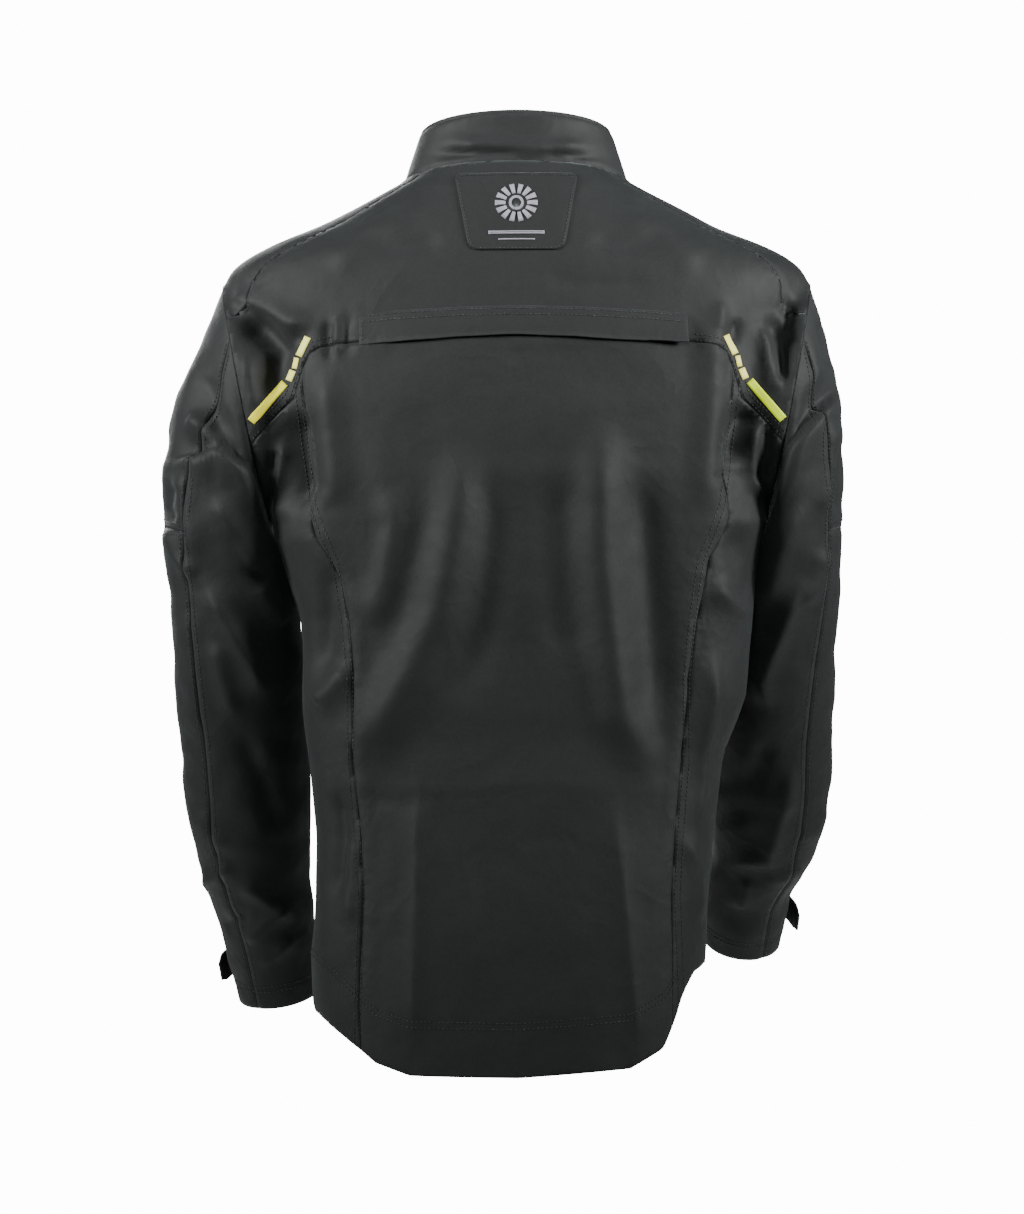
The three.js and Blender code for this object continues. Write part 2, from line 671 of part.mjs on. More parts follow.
function cuffTab(rows, side) {
  const frame = sleeveFrame(rows[rows.length - 2], side);
  const next = sleeveFrame(rows[rows.length - 1], side);
  const travel = next.centre.clone().sub(frame.centre).normalize();
  const steps = 6;
  const grid = (lift) => [-CUFF_TAB.width / 2, CUFF_TAB.width / 2].map((shift) => {
    const points = [];
    for (let k = 0; k <= steps; k += 1) {
      const turn = rad(along(CUFF_TAB.from, CUFF_TAB.to, k / steps));
      const flare = CUFF_TAB.flare * (k / steps) ** 3;
      const point = sleevePoint(frame, turn, -(lift + 1.2 + flare));
      points.push(point.addScaledVector(travel, shift));
    }
    return points;
  });
  return slab(grid(CUFF_TAB.lift + CUFF_TAB.thick), grid(CUFF_TAB.lift));
}

function collarGrid(inset, from, to, rise, steps) {
  const base = bodyRow(BODY_ROWS[0]);
  const grid = [];
  for (let r = 0; r <= COLLAR_STEPS; r += 1) {
    const part = r / COLLAR_STEPS;
    const line = [];
    for (let k = 0; k <= steps; k += 1) {
      const turn = along(from, to, k / steps);
      const low = bodyPoint(base, turn, inset);
      low.z += rise;
      const s = Math.sin(turn);
      const c = Math.cos(turn);
      const topFront = frontY(COLLAR_TOP_Z + COLLAR_TOP_TILT * -80);
      const y = (s > 0 ? COLLAR_TOP_BACK - inset : -topFront - inset) * s;
      const high = new THREE.Vector3((COLLAR_TOP_HALF - inset) * c, y, 0);
      high.z = COLLAR_TOP_Z + COLLAR_TOP_TILT * y;
      line.push(low.lerp(high, part));
    }
    grid.push(line);
  }
  return grid;
}

function addCollar() {
  const edge = (margin) => Math.asin(Math.min(1, margin / COLLAR_TOP_HALF));
  const open = edge(ZIP_GAP);
  const from = -Math.PI / 2 + open;
  const to = 3 * Math.PI / 2 - open;
  put('collar_outer', slab(collarGrid(0, from, to, GAP, 28), collarGrid(SHELL, from, to, GAP, 28)), PAINT.shell);
  const tuck = edge(20);
  const lining = (inset) => collarGrid(inset, -Math.PI / 2 + tuck, 3 * Math.PI / 2 - tuck, GAP, 20);
  put('collar_lining', slab(lining(LINING_FROM), lining(LINING_TO)), PAINT.lining);
}

function skin(lift, thick) {
  return layer(-(lift + thick), -lift);
}

function addBadge() {
  const { top, bottom, halfTop, halfBottom, corner } = BADGE;
  const right = [[halfTop, top], [halfBottom + 1, bottom + corner], [halfBottom - corner, bottom]];
  const outline = [...right, ...mirrored(right).reverse()];
  const badge = skin(BADGE.lift, BADGE.thick).intersect(prismAlongY(outline, 20, 200));
  put('badge_patch', toGeometry(pieces(badge, 50)[0]), PAINT.badge);
}

function addFlapAndStripes() {
  const flapLine = (drop) => {
    const line = [];
    for (let i = 0; i <= 10; i += 1) {
      const x = along(FLAP.from, FLAP.to, i / 10);
      line.push([x, readLine(YOKE_LINE, Math.abs(x)) + drop]);
    }
    return line;
  };
  const outline = [...flapLine(FLAP.above), ...flapLine(-FLAP.below).reverse()];
  const flap = skin(FLAP.lift, FLAP.thick).intersect(prismAlongY(outline, 30, 200));
  put('yoke_flap', toGeometry(pieces(flap, 50)[0]), PAINT.shell);
  const film = skin(STRIPE_LIFT, STRIPE_THICK);
  [1, -1].forEach((side) => {
    STRIPES.forEach((stripe, i) => {
      const turn = rad(stripe.turn);
      const corners = [[-1, -1], [1, -1], [1, 1], [-1, 1]].map(([a, b]) => {
        const u = a * stripe.width / 2;
        const v = b * stripe.length / 2;
        const x = stripe.centre[0] + u * Math.cos(turn) - v * Math.sin(turn);
        const z = stripe.centre[1] + u * Math.sin(turn) + v * Math.cos(turn);
        return [side * x, z];
      });
      const piece = film.intersect(prismAlongY(corners, 30, 200));
      const label = `reflective_stripe_${side > 0 ? 'left' : 'right'}_${i + 1}`;
      put(label, toGeometry(pieces(piece, 0.5)[0]), PAINT.stripe);
    });
  });
}

// A straight bar that follows the leaning front line.
function frontBar(fromX, toX, fromY, toY, bottom, top) {
  const corner = (x, y, z) => new THREE.Vector3(x, frontY(z) + y, z);
  const ring = (z) => [
    corner(fromX, fromY, z), corner(toX, fromY, z), corner(toX, toY, z), corner(fromX, toY, z),
  ];
  return loft([ring(bottom), ring(top)]);
}

function addMainZip() {
  [1, -1].forEach((side) => {
    const label = side > 0 ? 'left' : 'right';
    const span = (a, b) => (side > 0 ? [a, b] : [-b, -a]);
    const chain = span(0.15, 0.15 + CHAIN_WIDTH);
    const tape = span(0.15, 0.15 + TAPE_WIDTH);
    put(`main_chain_${label}`, frontBar(...chain, 0.2, 2.6, ZIP_BOTTOM, ZIP_TOP), PAINT.chain);
    put(`main_tape_${label}`, frontBar(...tape, 4.2, 4.9, ZIP_BOTTOM + 2, ZIP_TOP), PAINT.tape);
  });
  put('wind_placket', frontBar(-22, 30, 10.0, 11.2, ZIP_BOTTOM + 4, -60), PAINT.facing);
  put('chin_guard', frontBar(-14, 14, 6.0, 7.2, -30, ZIP_TOP + 4), PAINT.facing);
  put('main_slider', frontBar(-4.6, 4.6, -4.6, -GAP, MAIN_SLIDER_Z - 7, MAIN_SLIDER_Z + 7), PAINT.metal);
  put('main_puller', frontBar(-3, 3, -7.0, -5.4, MAIN_SLIDER_Z - 32, MAIN_SLIDER_Z + 2), PAINT.rubber);
}

function addPocketZips() {
  POCKETS.forEach((pocket) => {
    const frame = pocketFrame(pocket);
    const bar = (low, high) => {
      const corner = (a, n, d) => frame.top.clone()
        .addScaledVector(frame.across, a)
        .addScaledVector(frame.normal, frame.lift + n)
        .addScaledVector(frame.down, d);
      const ring = (d) => [
        corner(low[0], low[1], d), corner(high[0], low[1], d),
        corner(high[0], high[1], d), corner(low[0], high[1], d),
      ];
      return loft([ring(low[2]), ring(high[2])]);
    };
    put(`${pocket.name}_slider`, bar([-3.2, 0.5, 0], [3.2, 3.4, 10]), PAINT.metal);
    put(`${pocket.name}_puller`, bar([-2.2, 3.9, 4], [2.2, 5.3, 30]), PAINT.rubber);
  });
}

function addHangLoop() {
  const curve = new THREE.CatmullRomCurve3([
    new THREE.Vector3(-LOOP.half, LOOP.y, LOOP.z),
    new THREE.Vector3(-LOOP.half * 0.86, LOOP.y, LOOP.z - LOOP.drop * 0.6),
    new THREE.Vector3(0, LOOP.y, LOOP.z - LOOP.drop),
    new THREE.Vector3(LOOP.half * 0.86, LOOP.y, LOOP.z - LOOP.drop * 0.6),
    new THREE.Vector3(LOOP.half, LOOP.y, LOOP.z),
  ]);
  const shape = new THREE.Shape();
  for (let i = 0; i < 8; i += 1) {
    const turn = (i + 0.5) * Math.PI / 4;
    const point = [LOOP.radius * Math.cos(turn), LOOP.radius * Math.sin(turn)];
    if (i === 0) shape.moveTo(...point);
    else shape.lineTo(...point);
  }
  const geometry = new THREE.ExtrudeGeometry(shape, { steps: 12, bevelEnabled: false, extrudePath: curve });
  put('hang_loop', outwardFromSoup(geometry), PAINT.cord);
}

addShellPanels();
addInnerLayer();
addPocketBags();
addCollar();
addSleeve('left', 1);
addSleeve('right', -1);
addBadge();
addFlapAndStripes();
addMainZip();
addPocketZips();
addHangLoop();

export default jacket;
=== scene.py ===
"""Looks of the turnout coat: cloth panels, seams, stitching, zips and film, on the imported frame."""
import json
import math

import bmesh
import bpy
import numpy as np
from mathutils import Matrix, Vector
from mathutils.bvhtree import BVHTree

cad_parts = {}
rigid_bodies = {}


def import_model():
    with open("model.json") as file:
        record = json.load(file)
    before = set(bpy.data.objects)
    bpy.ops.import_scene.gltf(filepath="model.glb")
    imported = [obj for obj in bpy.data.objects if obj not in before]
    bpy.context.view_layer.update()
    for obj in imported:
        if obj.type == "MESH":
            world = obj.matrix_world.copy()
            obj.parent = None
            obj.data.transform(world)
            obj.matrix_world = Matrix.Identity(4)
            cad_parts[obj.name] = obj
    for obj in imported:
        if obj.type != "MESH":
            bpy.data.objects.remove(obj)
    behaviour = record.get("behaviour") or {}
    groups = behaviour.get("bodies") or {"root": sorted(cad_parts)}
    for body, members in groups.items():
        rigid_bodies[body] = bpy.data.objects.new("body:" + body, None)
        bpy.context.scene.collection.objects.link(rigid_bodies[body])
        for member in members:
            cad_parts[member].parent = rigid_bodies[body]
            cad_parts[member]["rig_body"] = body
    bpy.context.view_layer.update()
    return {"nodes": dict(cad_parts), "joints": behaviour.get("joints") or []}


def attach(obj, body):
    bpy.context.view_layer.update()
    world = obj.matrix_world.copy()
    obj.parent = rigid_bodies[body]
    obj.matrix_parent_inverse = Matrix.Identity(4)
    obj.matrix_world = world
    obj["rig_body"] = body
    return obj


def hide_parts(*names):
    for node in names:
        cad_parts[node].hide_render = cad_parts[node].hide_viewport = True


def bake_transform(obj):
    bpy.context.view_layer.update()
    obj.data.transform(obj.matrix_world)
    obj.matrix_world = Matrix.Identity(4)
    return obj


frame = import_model()
MM = 0.001

# ------------------------------------------------------------------ camera
EYE_Z = -370 * MM
EYE_DISTANCE = 3.0
cam_data = bpy.data.cameras.new("camera")
cam = bpy.data.objects.new("camera", cam_data)
bpy.context.scene.collection.objects.link(cam)
bpy.context.scene.camera = cam
cam_data.sensor_fit = "VERTICAL"
cam_data.sensor_height = 36
cam_data.lens = 36 * EYE_DISTANCE / 1.026
cam.location = (0.005, EYE_DISTANCE, EYE_Z)
cam.rotation_euler = (math.radians(90), math.radians(0.0), math.radians(180))
cam.rotation_euler.rotate_axis("Z", math.radians(-0.25))

# ------------------------------------------------------------------ shape of the coat, in millimetres
FRONT_LEAN, FRONT_NECK_Y, FRONT_NECK_Z = 0.068, -84, -57
BACK_PROFILE = np.array([
    [60, 56], [20, 61], [0, 66], [-20, 76], [-40, 85], [-60, 92], [-80, 98], [-106, 104],
    [-140, 110], [-200, 116], [-260, 117], [-320, 113], [-400, 106], [-480, 102],
    [-560, 105], [-640, 112], [-700, 116], [-780, 118], [-840, 119]], float)
BODY_ROWS = np.array([
    [-16, 95, 0.24, 0.49, 0, 2.0, 2.0],
    [-42, 148, 0.17, 0.33, 0, 2.0, 2.0],
    [-54, 173, 0.14, 0.27, 0, 2.0, 2.0],
    [-71, 219, 0.08, 0.17, 0, 2.0, 2.0],
    [-83, 238, 0.05, 0.12, 1, 2.1, 2.0],
    [-99, 246, 0.03, 0.08, 2, 2.2, 2.0],
    [-130, 237, 0.00, 0.04, 4, 2.3, 2.0],
    [-170, 229, 0.00, 0.00, 8, 2.4, 2.0],
    [-260, 206, 0.00, 0.00, 16, 2.4, 2.0],
    [-300, 195, 0.00, 0.00, 19, 2.4, 1.95],
    [-345, 187, 0.00, 0.00, 20, 2.4, 1.9],
    [-400, 182, 0.00, 0.00, 20, 2.4, 1.9],
    [-450, 180, 0.00, 0.00, 20, 2.4, 1.9],
    [-510, 171, 0.00, 0.00, 18, 2.4, 1.9],
    [-620, 164, 0.00, 0.00, 12, 2.4, 2.1],
    [-680, 165, 0.00, 0.00, 10, 2.4, 2.1],
    [-775, 164, 0.00, 0.00, 10, 2.4, 2.1],
    [-800, 164, 0.00, 0.00, 10, 2.4, 2.1]], float)
HEM = [[-260, -660], [-175, -663], [-155, -673], [-143, -691], [-131, -713], [-118, -732], [-90, -747],
       [0, -753], [90, -752], [118, -743], [131, -733], [143, -722], [155, -712], [175, -698], [260, -694]]
YOKE_HALF = [[0, -147], [48, -148], [111, -151], [141, -153.5], [161, -156], [171, -161], [178, -176],
             [185, -198], [198, -211], [212, -226], [221, -238], [250, -268]]
PRINCESS = [[178, -172], [173, -221], [168, -258], [164, -285], [156, -308], [146, -331], [139, -380],
            [134, -430], [134, -497], [129, -557], [126, -608], [129, -690], [131, -820]]
SHOULDER_SEAM = [[60, 38], [87, 41], [150, 50], [245, 53], [300, 53]]
SIDE_SEAM_Y = -36
ARMHOLE = np.array([227.2, 0, -201.0])
ARMHOLE_TILT = 78.4
STUB_ROWS = [
    [120, 6, -188, 78.4, 0, 80, 56], [175, 4, -193.5, 78.4, 0, 90.5, 68],
    [205, 2, -196, 78.4, 0, 98, 74], [227.8, 0, -198, 78.4, 0, 101, 76], [243.6, 0, -201.2, 78.4, 0, 101, 76]]
SLEEVE_ROWS = {
    1: [
        [227.8, 0, -198, 78.4, 0, 101, 76], [233, 0, -233, 70.7, 0, 88, 73],
        [239.5, -2, -272, 55.6, 2, 82.4, 69], [243, -6, -309.5, 46.8, 5, 80.3, 66],
        [242.5, -12, -346, 38.2, 8, 74.4, 63], [237.5, -24, -404, 22.7, 13, 62.3, 60],
        [236, -42, -468, 7.8, 17, 55.5, 56], [235.5, -66, -542, 0, 19, 51.5, 52],
        [230, -88, -601, -3, 19, 44, 46], [219, -105, -650, -8, 18, 41, 41],
        [214.5, -115, -681, -8, 18, 39, 39], [210, -124, -712, -8, 18, 37, 37]],
    -1: [
        [227.8, 0, -198, 78.4, 0, 101, 76], [230.5, 0, -233, 72.3, 0, 87, 73],
        [230.5, -4, -270, 61.8, 3, 79.4, 69], [229.5, -12, -308.5, 51.6, 8, 73.3, 65],
        [227, -24, -344, 40.5, 14, 67, 61], [221, -50, -400, 14.3, 24, 57.5, 58],
        [219.5, -80, -459, 3, 27, 54, 55], [223, -114, -523, -3.4, 28, 50.5, 52],
        [219.5, -144, -579.5, -7, 29, 44.8, 46], [205.5, -170, -622, -9, 30, 41, 41],
        [203, -184, -646, -8, 30, 39, 39], [201, -200, -672, -6, 30, 37, 37]],
}
ELBOW_ROW, LAST_ROW = 4, 10.83
SEAM_BACK, SEAM_FRONT = 60, -75
ZIP_GAP, ZIP_TOP, ZIP_BOTTOM = 3.6, 4, -744

# Folds of the cloth as seen from behind: points (x, z), depth outwards, half width, how sharp.
FOLDS_BACK = [
    [[(45, -225), (52, -304), (66, -374), (94, -430), (122, -479), (130, -515)], 5.0, 20, 1.0],
    [[(112, -262), (103, -300), (112, -345), (126, -392)], 2.4, 13, 1.0],
    [[(20, -250), (22, -330), (34, -400), (52, -460)], -1.8, 20, 1.0],
    [[(-69, -205), (-69, -322), (-76, -392), (-86, -462), (-112, -521)], 5.0, 18, 1.0],
    [[(-30, -250), (-34, -340), (-44, -430)], -1.6, 20, 1.0],
    [[(-104, -250), (-110, -330), (-114, -400), (-118, -470)], -2.6, 15, 1.0],
    [[(85, -512), (86, -619), (92, -752)], 1.8, 9, 2.0],
    [[(72, -522), (50, -580), (38, -640)], -1.0, 10, 1.5],
    [[(-78, -530), (-88, -619), (-101, -752)], 2.0, 10, 2.0],
    [[(134, -516), (67, -523), (-18, -519), (-104, -524)], 0.3, 6, 2.0],
    [[(134, -529), (100, -536), (70, -532)], -0.5, 9, 1.5],
    [[(162, -165), (157, -230), (152, -290)], 2.6, 12, 1.0],
    [[(-166, -112), (-165, -180), (-160, -250), (-150, -300)], 2.6, 12, 1.0],
    # side panels
    [[(150, -330), (160, -380), (168, -430)], -2.4, 10, 1.0],
    [[(143, -420), (158, -440), (172, -452)], 3.0, 11, 1.2],
    [[(150, -520), (146, -570), (149, -620)], -2.4, 7, 1.4],
    [[(140, -560), (139, -640)], 1.4, 6, 1.4],
    [[(-166, -300), (-182, -350), (-176, -392)], -2.4, 12, 1.0],
    [[(-150, -350), (-172, -372), (-188, -376)], 2.6, 9, 1.2],
    [[(-150, -400), (-156, -450), (-156, -520), (-150, -570)], 2.2, 7, 1.4],
    [[(-140, -560), (-152, -590), (-158, -640)], 2.0, 8, 1.4],
    # armholes, wearer's left
    [[(230, -120), (212, -136), (200, -152), (206, -176), (214, -196)], -5.0, 11, 1.2],
    [[(245, -108), (222, -112), (196, -126), (172, -136)], 3.2, 11, 1.2],
    [[(187, -132), (184, -148)], -1.6, 5, 1.4],
    [[(160, -126), (159, -162)], -1.8, 4, 1.4],
    [[(151, -122), (152, -158)], 1.6, 4, 1.4],
    [[(143, -120), (145, -158)], -1.2, 4, 1.4],
    [[(231, -150), (226, -200), (221, -236)], 2.4, 7, 1.2],
    [[(196, -226), (200, -262), (190, -300)], 3.0, 7, 1.6],
    [[(184, -200), (182, -240), (178, -290)], -4.5, 8, 1.4],
    [[(205, -236), (208, -258)], -2.6, 5, 1.4],
    # armholes, wearer's right
    [[(-218, -122), (-224, -150), (-229, -184)], -5.0, 9, 1.3],
    [[(-229, -108), (-233, -130), (-236, -150)], -3.6, 6, 1.3],
    [[(-238, -112), (-244, -150), (-246, -190)], 2.6, 6, 1.3],
    [[(-208, -130), (-214, -165), (-222, -190)], 2.6, 6, 1.3],
    [[(-187, -128), (-182, -150)], -2.2, 5, 1.4],
    [[(-172, -112), (-171, -138)], 1.6, 6, 1.2],
    [[(-196, -200), (-184, -228), (-182, -252)], -4.6, 10, 1.2],
    [[(-212, -214), (-210, -244), (-204, -268)], -3.2, 6, 1.3],
    [[(-204, -212), (-197, -240), (-196, -280)], 3.2, 7, 1.3],
    # shoulders
    [[(90, -34), (120, -52), (160, -86)], 1.4, 14, 1.0],
    [[(-90, -34), (-120, -52), (-160, -86)], 1.2, 14, 1.0],
    [[(60, -60), (100, -66), (134, -60)], -1.2, 8, 1.2],
    [[(-60, -60), (-96, -64), (-130, -58)], -1.2, 8, 1.2],
    [[(-118, -96), (-60, -98), (-20, -92)], -0.8, 8, 1.2],
]
# The same for the front, which the photograph doesn't show.
FOLDS_FRONT = [
    [[(60, -120), (70, -220), (66, -320), (80, -420)], 3.0, 20, 1.0],
    [[(-60, -120), (-72, -230), (-64, -330), (-84, -440)], 3.0, 20, 1.0],
    [[(110, -150), (104, -230), (96, -300)], -2.4, 14, 1.0],
    [[(-112, -150), (-104, -220), (-94, -310)], -2.4, 14, 1.0],
    [[(190, -160), (160, -200), (140, -250)], 3.0, 9, 1.2],
    [[(-190, -160), (-160, -204), (-138, -252)], 3.0, 9, 1.2],
    [[(196, -130), (176, -160), (160, -196)], -2.6, 8, 1.2],
    [[(-196, -130), (-176, -160), (-160, -196)], -2.6, 8, 1.2],
    [[(40, -470), (60, -560), (52, -700)], 2.0, 16, 1.0],
    [[(-40, -470), (-62, -560), (-50, -700)], 2.0, 16, 1.0],
    [[(140, -420), (100, -450), (40, -455)], 1.6, 8, 1.4],
    [[(-140, -430), (-96, -452), (-40, -448)], 1.6, 8, 1.4],
]
# Sleeves from behind; x is counted outwards on both sides. A ledge is a fold that hangs over on one side.
FOLDS_SLEEVE = {
    1: [
        [[(292, -246), (268, -240), (250, -233), (237, -244), (219, -256), (199, -267)], 7.5, 24, "ledge"],
        [[(276, -206), (262, -222), (248, -232)], 4.0, 8, 1.2],
        [[(262, -170), (256, -210), (252, -232)], -3.0, 9, 1.2],
        [[(284, -250), (280, -290), (268, -330)], 3.0, 9, 1.2],
        [[(297, -300), (288, -326), (272, -345)], 3.4, 8, 1.3],
        [[(292, -262), (298, -286), (290, -300)], -3.0, 7, 1.3],
        [[(255, -275), (238, -312), (220, -342)], 3.4, 10, 1.2],
        [[(246, -300), (228, -336), (204, -350)], -2.6, 9, 1.2],
        [[(264, -350), (240, -392), (210, -450)], 4.6, 9, 1.4],
        [[(222, -348), (196, -386)], 2.6, 9, 1.2],
        [[(256, -396), (250, -430), (240, -462)], 2.6, 8, 1.3],
        [[(280, -366), (276, -420), (272, -480)], 2.0, 10, 1.0],
        [[(236, -474), (214, -520), (204, -566)], -2.0, 10, 1.0],
        [[(280, -615), (262, -600), (240, -586)], 2.4, 7, 1.3],
        [[(238, -600), (210, -622), (190, -634)], 2.2, 7, 1.3],
        [[(232, -655), (214, -636), (194, -618)], 2.4, 6, 1.4],
        [[(252, -640), (236, -632), (226, -634)], -1.8, 6, 1.3],
        [[(222, -672), (206, -664), (190, -648)], 1.6, 5, 1.4],
        [[(270, -540), (262, -560), (248, -574)], 1.8, 8, 1.2],
    ],
    -1: [
        [[(268, -186), (250, -208), (232, -233), (212, -260), (196, -276)], 7.0, 20, "ledge"],
        [[(253, -126), (258, -150), (261, -172)], -4.0, 7, 1.3],
        [[(246, -112), (248, -150), (252, -188)], 2.6, 7, 1.2],
        [[(262, -210), (262, -250), (258, -296)], 3.4, 8, 1.2],
        [[(272, -230), (270, -262), (272, -296)], -2.6, 6, 1.3],
        [[(238, -352), (222, -392), (206, -434), (212, -460)], 5.0, 9, 1.4],
        [[(238, -280), (222, -330), (210, -372)], 2.4, 10, 1.1],
        [[(262, -320), (252, -352), (240, -372)], 2.6, 9, 1.2],
        [[(232, -500), (226, -536), (210, -584), (176, -588)], 3.2, 8, 1.3],
        [[(214, -480), (196, -520), (184, -560)], -2.4, 10, 1.1],
        [[(196, -600), (186, -628)], 2.0, 6, 1.4],
        [[(240, -590), (224, -600), (206, -604)], 2.0, 7, 1.3],
        [[(262, -540), (250, -560), (234, -566)], 1.6, 8, 1.2],
    ],
}
CAM = np.array(cam.location) / MM


def seen(points):
    """Where each point lies across and up in the plane through the neck that faces the camera."""
    scale = CAM[1] / (CAM[1] - points[:, 1])
    return np.stack([points[:, 0] * scale, CAM[2] + (points[:, 2] - CAM[2]) * scale], 1)


def along_line(points, line):
    """Distance to a polyline, which side, and how far along it, for points in its plane."""
    line = np.asarray(line, float)
    best = np.full(len(points), 1e9)
    side = np.ones(len(points))
    place = np.zeros(len(points))
    run = 0.0
    total = np.linalg.norm(np.diff(line, axis=0), axis=1).sum()
    for a, b in zip(line[:-1], line[1:]):
        d = b - a
        length = np.linalg.norm(d)
        t = np.clip(((points - a) @ d) / length ** 2, 0, 1)
        gap = points - (a + t[:, None] * d)
        dist = np.linalg.norm(gap, axis=1)
        closer = dist < best
        best = np.where(closer, dist, best)
        cross = d[0] * gap[:, 1] - d[1] * gap[:, 0]
        side = np.where(closer, np.where(cross >= 0, 1.0, -1.0), side)
        place = np.where(closer, run + t * length, place)
        run += length
    return best, side, place / total


def smooth_step(value, low, high):
    t = np.clip((value - low) / (high - low), 0, 1)
    return t * t * (3 - 2 * t)


# How much further than its listed depth a fold stands out, by kind, and how it runs out at its ends.
LEDGE_RISE, WIDE_RISE, NARROW_RISE, WIDE_FROM = 1.25, 1.9, 2.0, 10
TAPER_RATE, TAPER_FLOOR = 4.5, 0.12


def fold_depth(flat, folds, crisp=NARROW_RISE):
    """How far the folds lift the cloth, for points in the plane the folds are drawn in."""
    depth = np.zeros(len(flat))
    for line, rise, width, kind in folds:
        dist, side, part = along_line(flat, line)
        rise *= LEDGE_RISE if kind == "ledge" else (WIDE_RISE if width >= WIDE_FROM else crisp)
        taper = smooth_step(np.minimum(part, 1 - part) * TAPER_RATE, 0, 1)
        taper = TAPER_FLOOR + (1 - TAPER_FLOOR) * taper
        if kind == "ledge":
            lip = smooth_step(side * dist, -2.0, 2.0)
            over = np.exp(-(dist / width) ** 2)
            under = np.exp(-(dist / (width * 0.8)) ** 2)
            depth += rise * taper * (lip * over - 0.55 * (1 - lip) * under)
        else:
            depth += rise * taper * np.exp(-(dist / width) ** (2 / kind))
    return depth


# ------------------------------------------------------------------ base surfaces
def spline(keys, values, at):
    """Monotone cubic through the keys, which rise."""
    keys, values = np.asarray(keys, float), np.asarray(values, float)
    step = np.diff(keys)
    slope = np.diff(values) / step
    tangent = np.zeros(len(keys))
    product = slope[:-1] * slope[1:]
    tangent[1:-1] = np.where(product > 0, 2 * product / (slope[:-1] + slope[1:] + 1e-12), 0)
    tangent[0], tangent[-1] = slope[0], slope[-1]
    i = np.clip(np.searchsorted(keys, at) - 1, 0, len(keys) - 2)
    t = np.clip((at - keys[i]) / step[i], 0, 1)
    h = step[i]
    return ((1 + 2 * t) * (1 - t) ** 2 * values[i] + t * (1 - t) ** 2 * h * tangent[i]
            + t * t * (3 - 2 * t) * values[i + 1] + t * t * (t - 1) * h * tangent[i + 1])


def body_grid(heights, turns, inset=0.0):
    """Points of the body's plain shape: a ring for each height, over the angles."""
    keys = BODY_ROWS[::-1, 0]
    value = [spline(keys, BODY_ROWS[::-1, k], heights) for k in range(1, 7)]
    half, back_tilt, front_tilt, mid, back_power, front_power = [v[:, None] for v in value]
    height = heights[:, None]
    back = np.full_like(height, 100.0)
    for _ in range(12):
        level = (height + back_tilt * back).ravel()
        back = np.interp(level, BACK_PROFILE[::-1, 0], BACK_PROFILE[::-1, 1])[:, None]
    front = (FRONT_NECK_Y + FRONT_LEAN * (height - FRONT_NECK_Z)) / (1 - FRONT_LEAN * front_tilt)
    c, s = np.cos(turns)[None, :], np.sin(turns)[None, :]
    power = np.where(s > 0, back_power, front_power)
    depth = np.where(s > 0, back - mid, mid - front) - inset
    x = (half - inset) * np.sign(c) * np.abs(c) ** (2 / power)
    y = mid + np.sign(s) * depth * np.abs(s) ** (2 / power)
    z = height + np.where(y > 0, back_tilt, front_tilt) * y
    return np.stack([x, y, z], -1)


def sleeve_frames(rows, at):
    """Middle, outer and back directions, travel and the two half widths of a sleeve at each row number."""
    rows = np.asarray(rows, float)
    keys = np.arange(len(rows), dtype=float)
    v = np.stack([spline(keys, rows[:, k], at) for k in range(7)], 1)
    tilt, lean = np.radians(v[:, 3]), np.radians(v[:, 4])
    outer = np.stack([np.cos(tilt), 0 * tilt, np.sin(tilt)], 1)
    travel = np.stack([np.sin(tilt) * np.cos(lean), -np.sin(lean), -np.cos(tilt) * np.cos(lean)], 1)
    return v[:, :3], outer, np.cross(outer, travel), travel, v[:, 5], v[:, 6]


def sleeve_grid(rows, at, turns, side):
    """Points of a sleeve; at is one row number for each ring, or one for each ring and angle."""
    at = np.broadcast_to(at[:, None], (len(at), len(turns))) if at.ndim == 1 else at
    frames = sleeve_frames(rows, at.ravel())
    centre, outer, back, _, across, depth = [v.reshape(*at.shape, -1) for v in frames]
    c, s = np.cos(turns)[None, :, None], np.sin(turns)[None, :, None]
    return (centre + outer * across * c + back * depth * s) * np.array([side, 1, 1])


def grid_faces(rows, columns, closed=False, start=0):
    faces = []
    for r in range(rows - 1):
        for c in range(columns if closed else columns - 1):
            d = (c + 1) % columns
            faces.append((start + r * columns + c, start + r * columns + d,
                          start + (r + 1) * columns + d, start + (r + 1) * columns + c))
    return faces


def mesh_object(name, points, faces, smooth=True, scale=MM):
    mesh = bpy.data.meshes.new(name)
    mesh.from_pydata((np.asarray(points) * scale).tolist(), [], [tuple(f) for f in faces])
    mesh.update()
    obj = bpy.data.objects.new(name, mesh)
    bpy.context.scene.collection.objects.link(obj)
    if smooth:
        mesh.shade_smooth()
    return obj


def faced_out(obj):
    """The faces of a closed mesh turned outwards."""
    bm = bmesh.new()
    bm.from_mesh(obj.data)
    bmesh.ops.recalc_face_normals(bm, faces=bm.faces)
    bm.to_mesh(obj.data)
    bm.free()


def drop(obj):
    mesh = obj.data
    bpy.data.objects.remove(obj)
    bpy.data.meshes.remove(mesh)


def settled(obj):
    """The object with its modifiers made part of the mesh."""
    graph = bpy.context.evaluated_depsgraph_get()
    mesh = bpy.data.meshes.new_from_object(obj.evaluated_get(graph))
    old = obj.data
    obj.modifiers.clear()
    obj.data = mesh
    bpy.data.meshes.remove(old)
    mesh.name = obj.name
    mesh.shade_smooth()
    return obj


def coords(mesh):
    flat = np.zeros(len(mesh.vertices) * 3, np.float32)
    mesh.vertices.foreach_get("co", flat)
    return flat.reshape(-1, 3).astype(float)


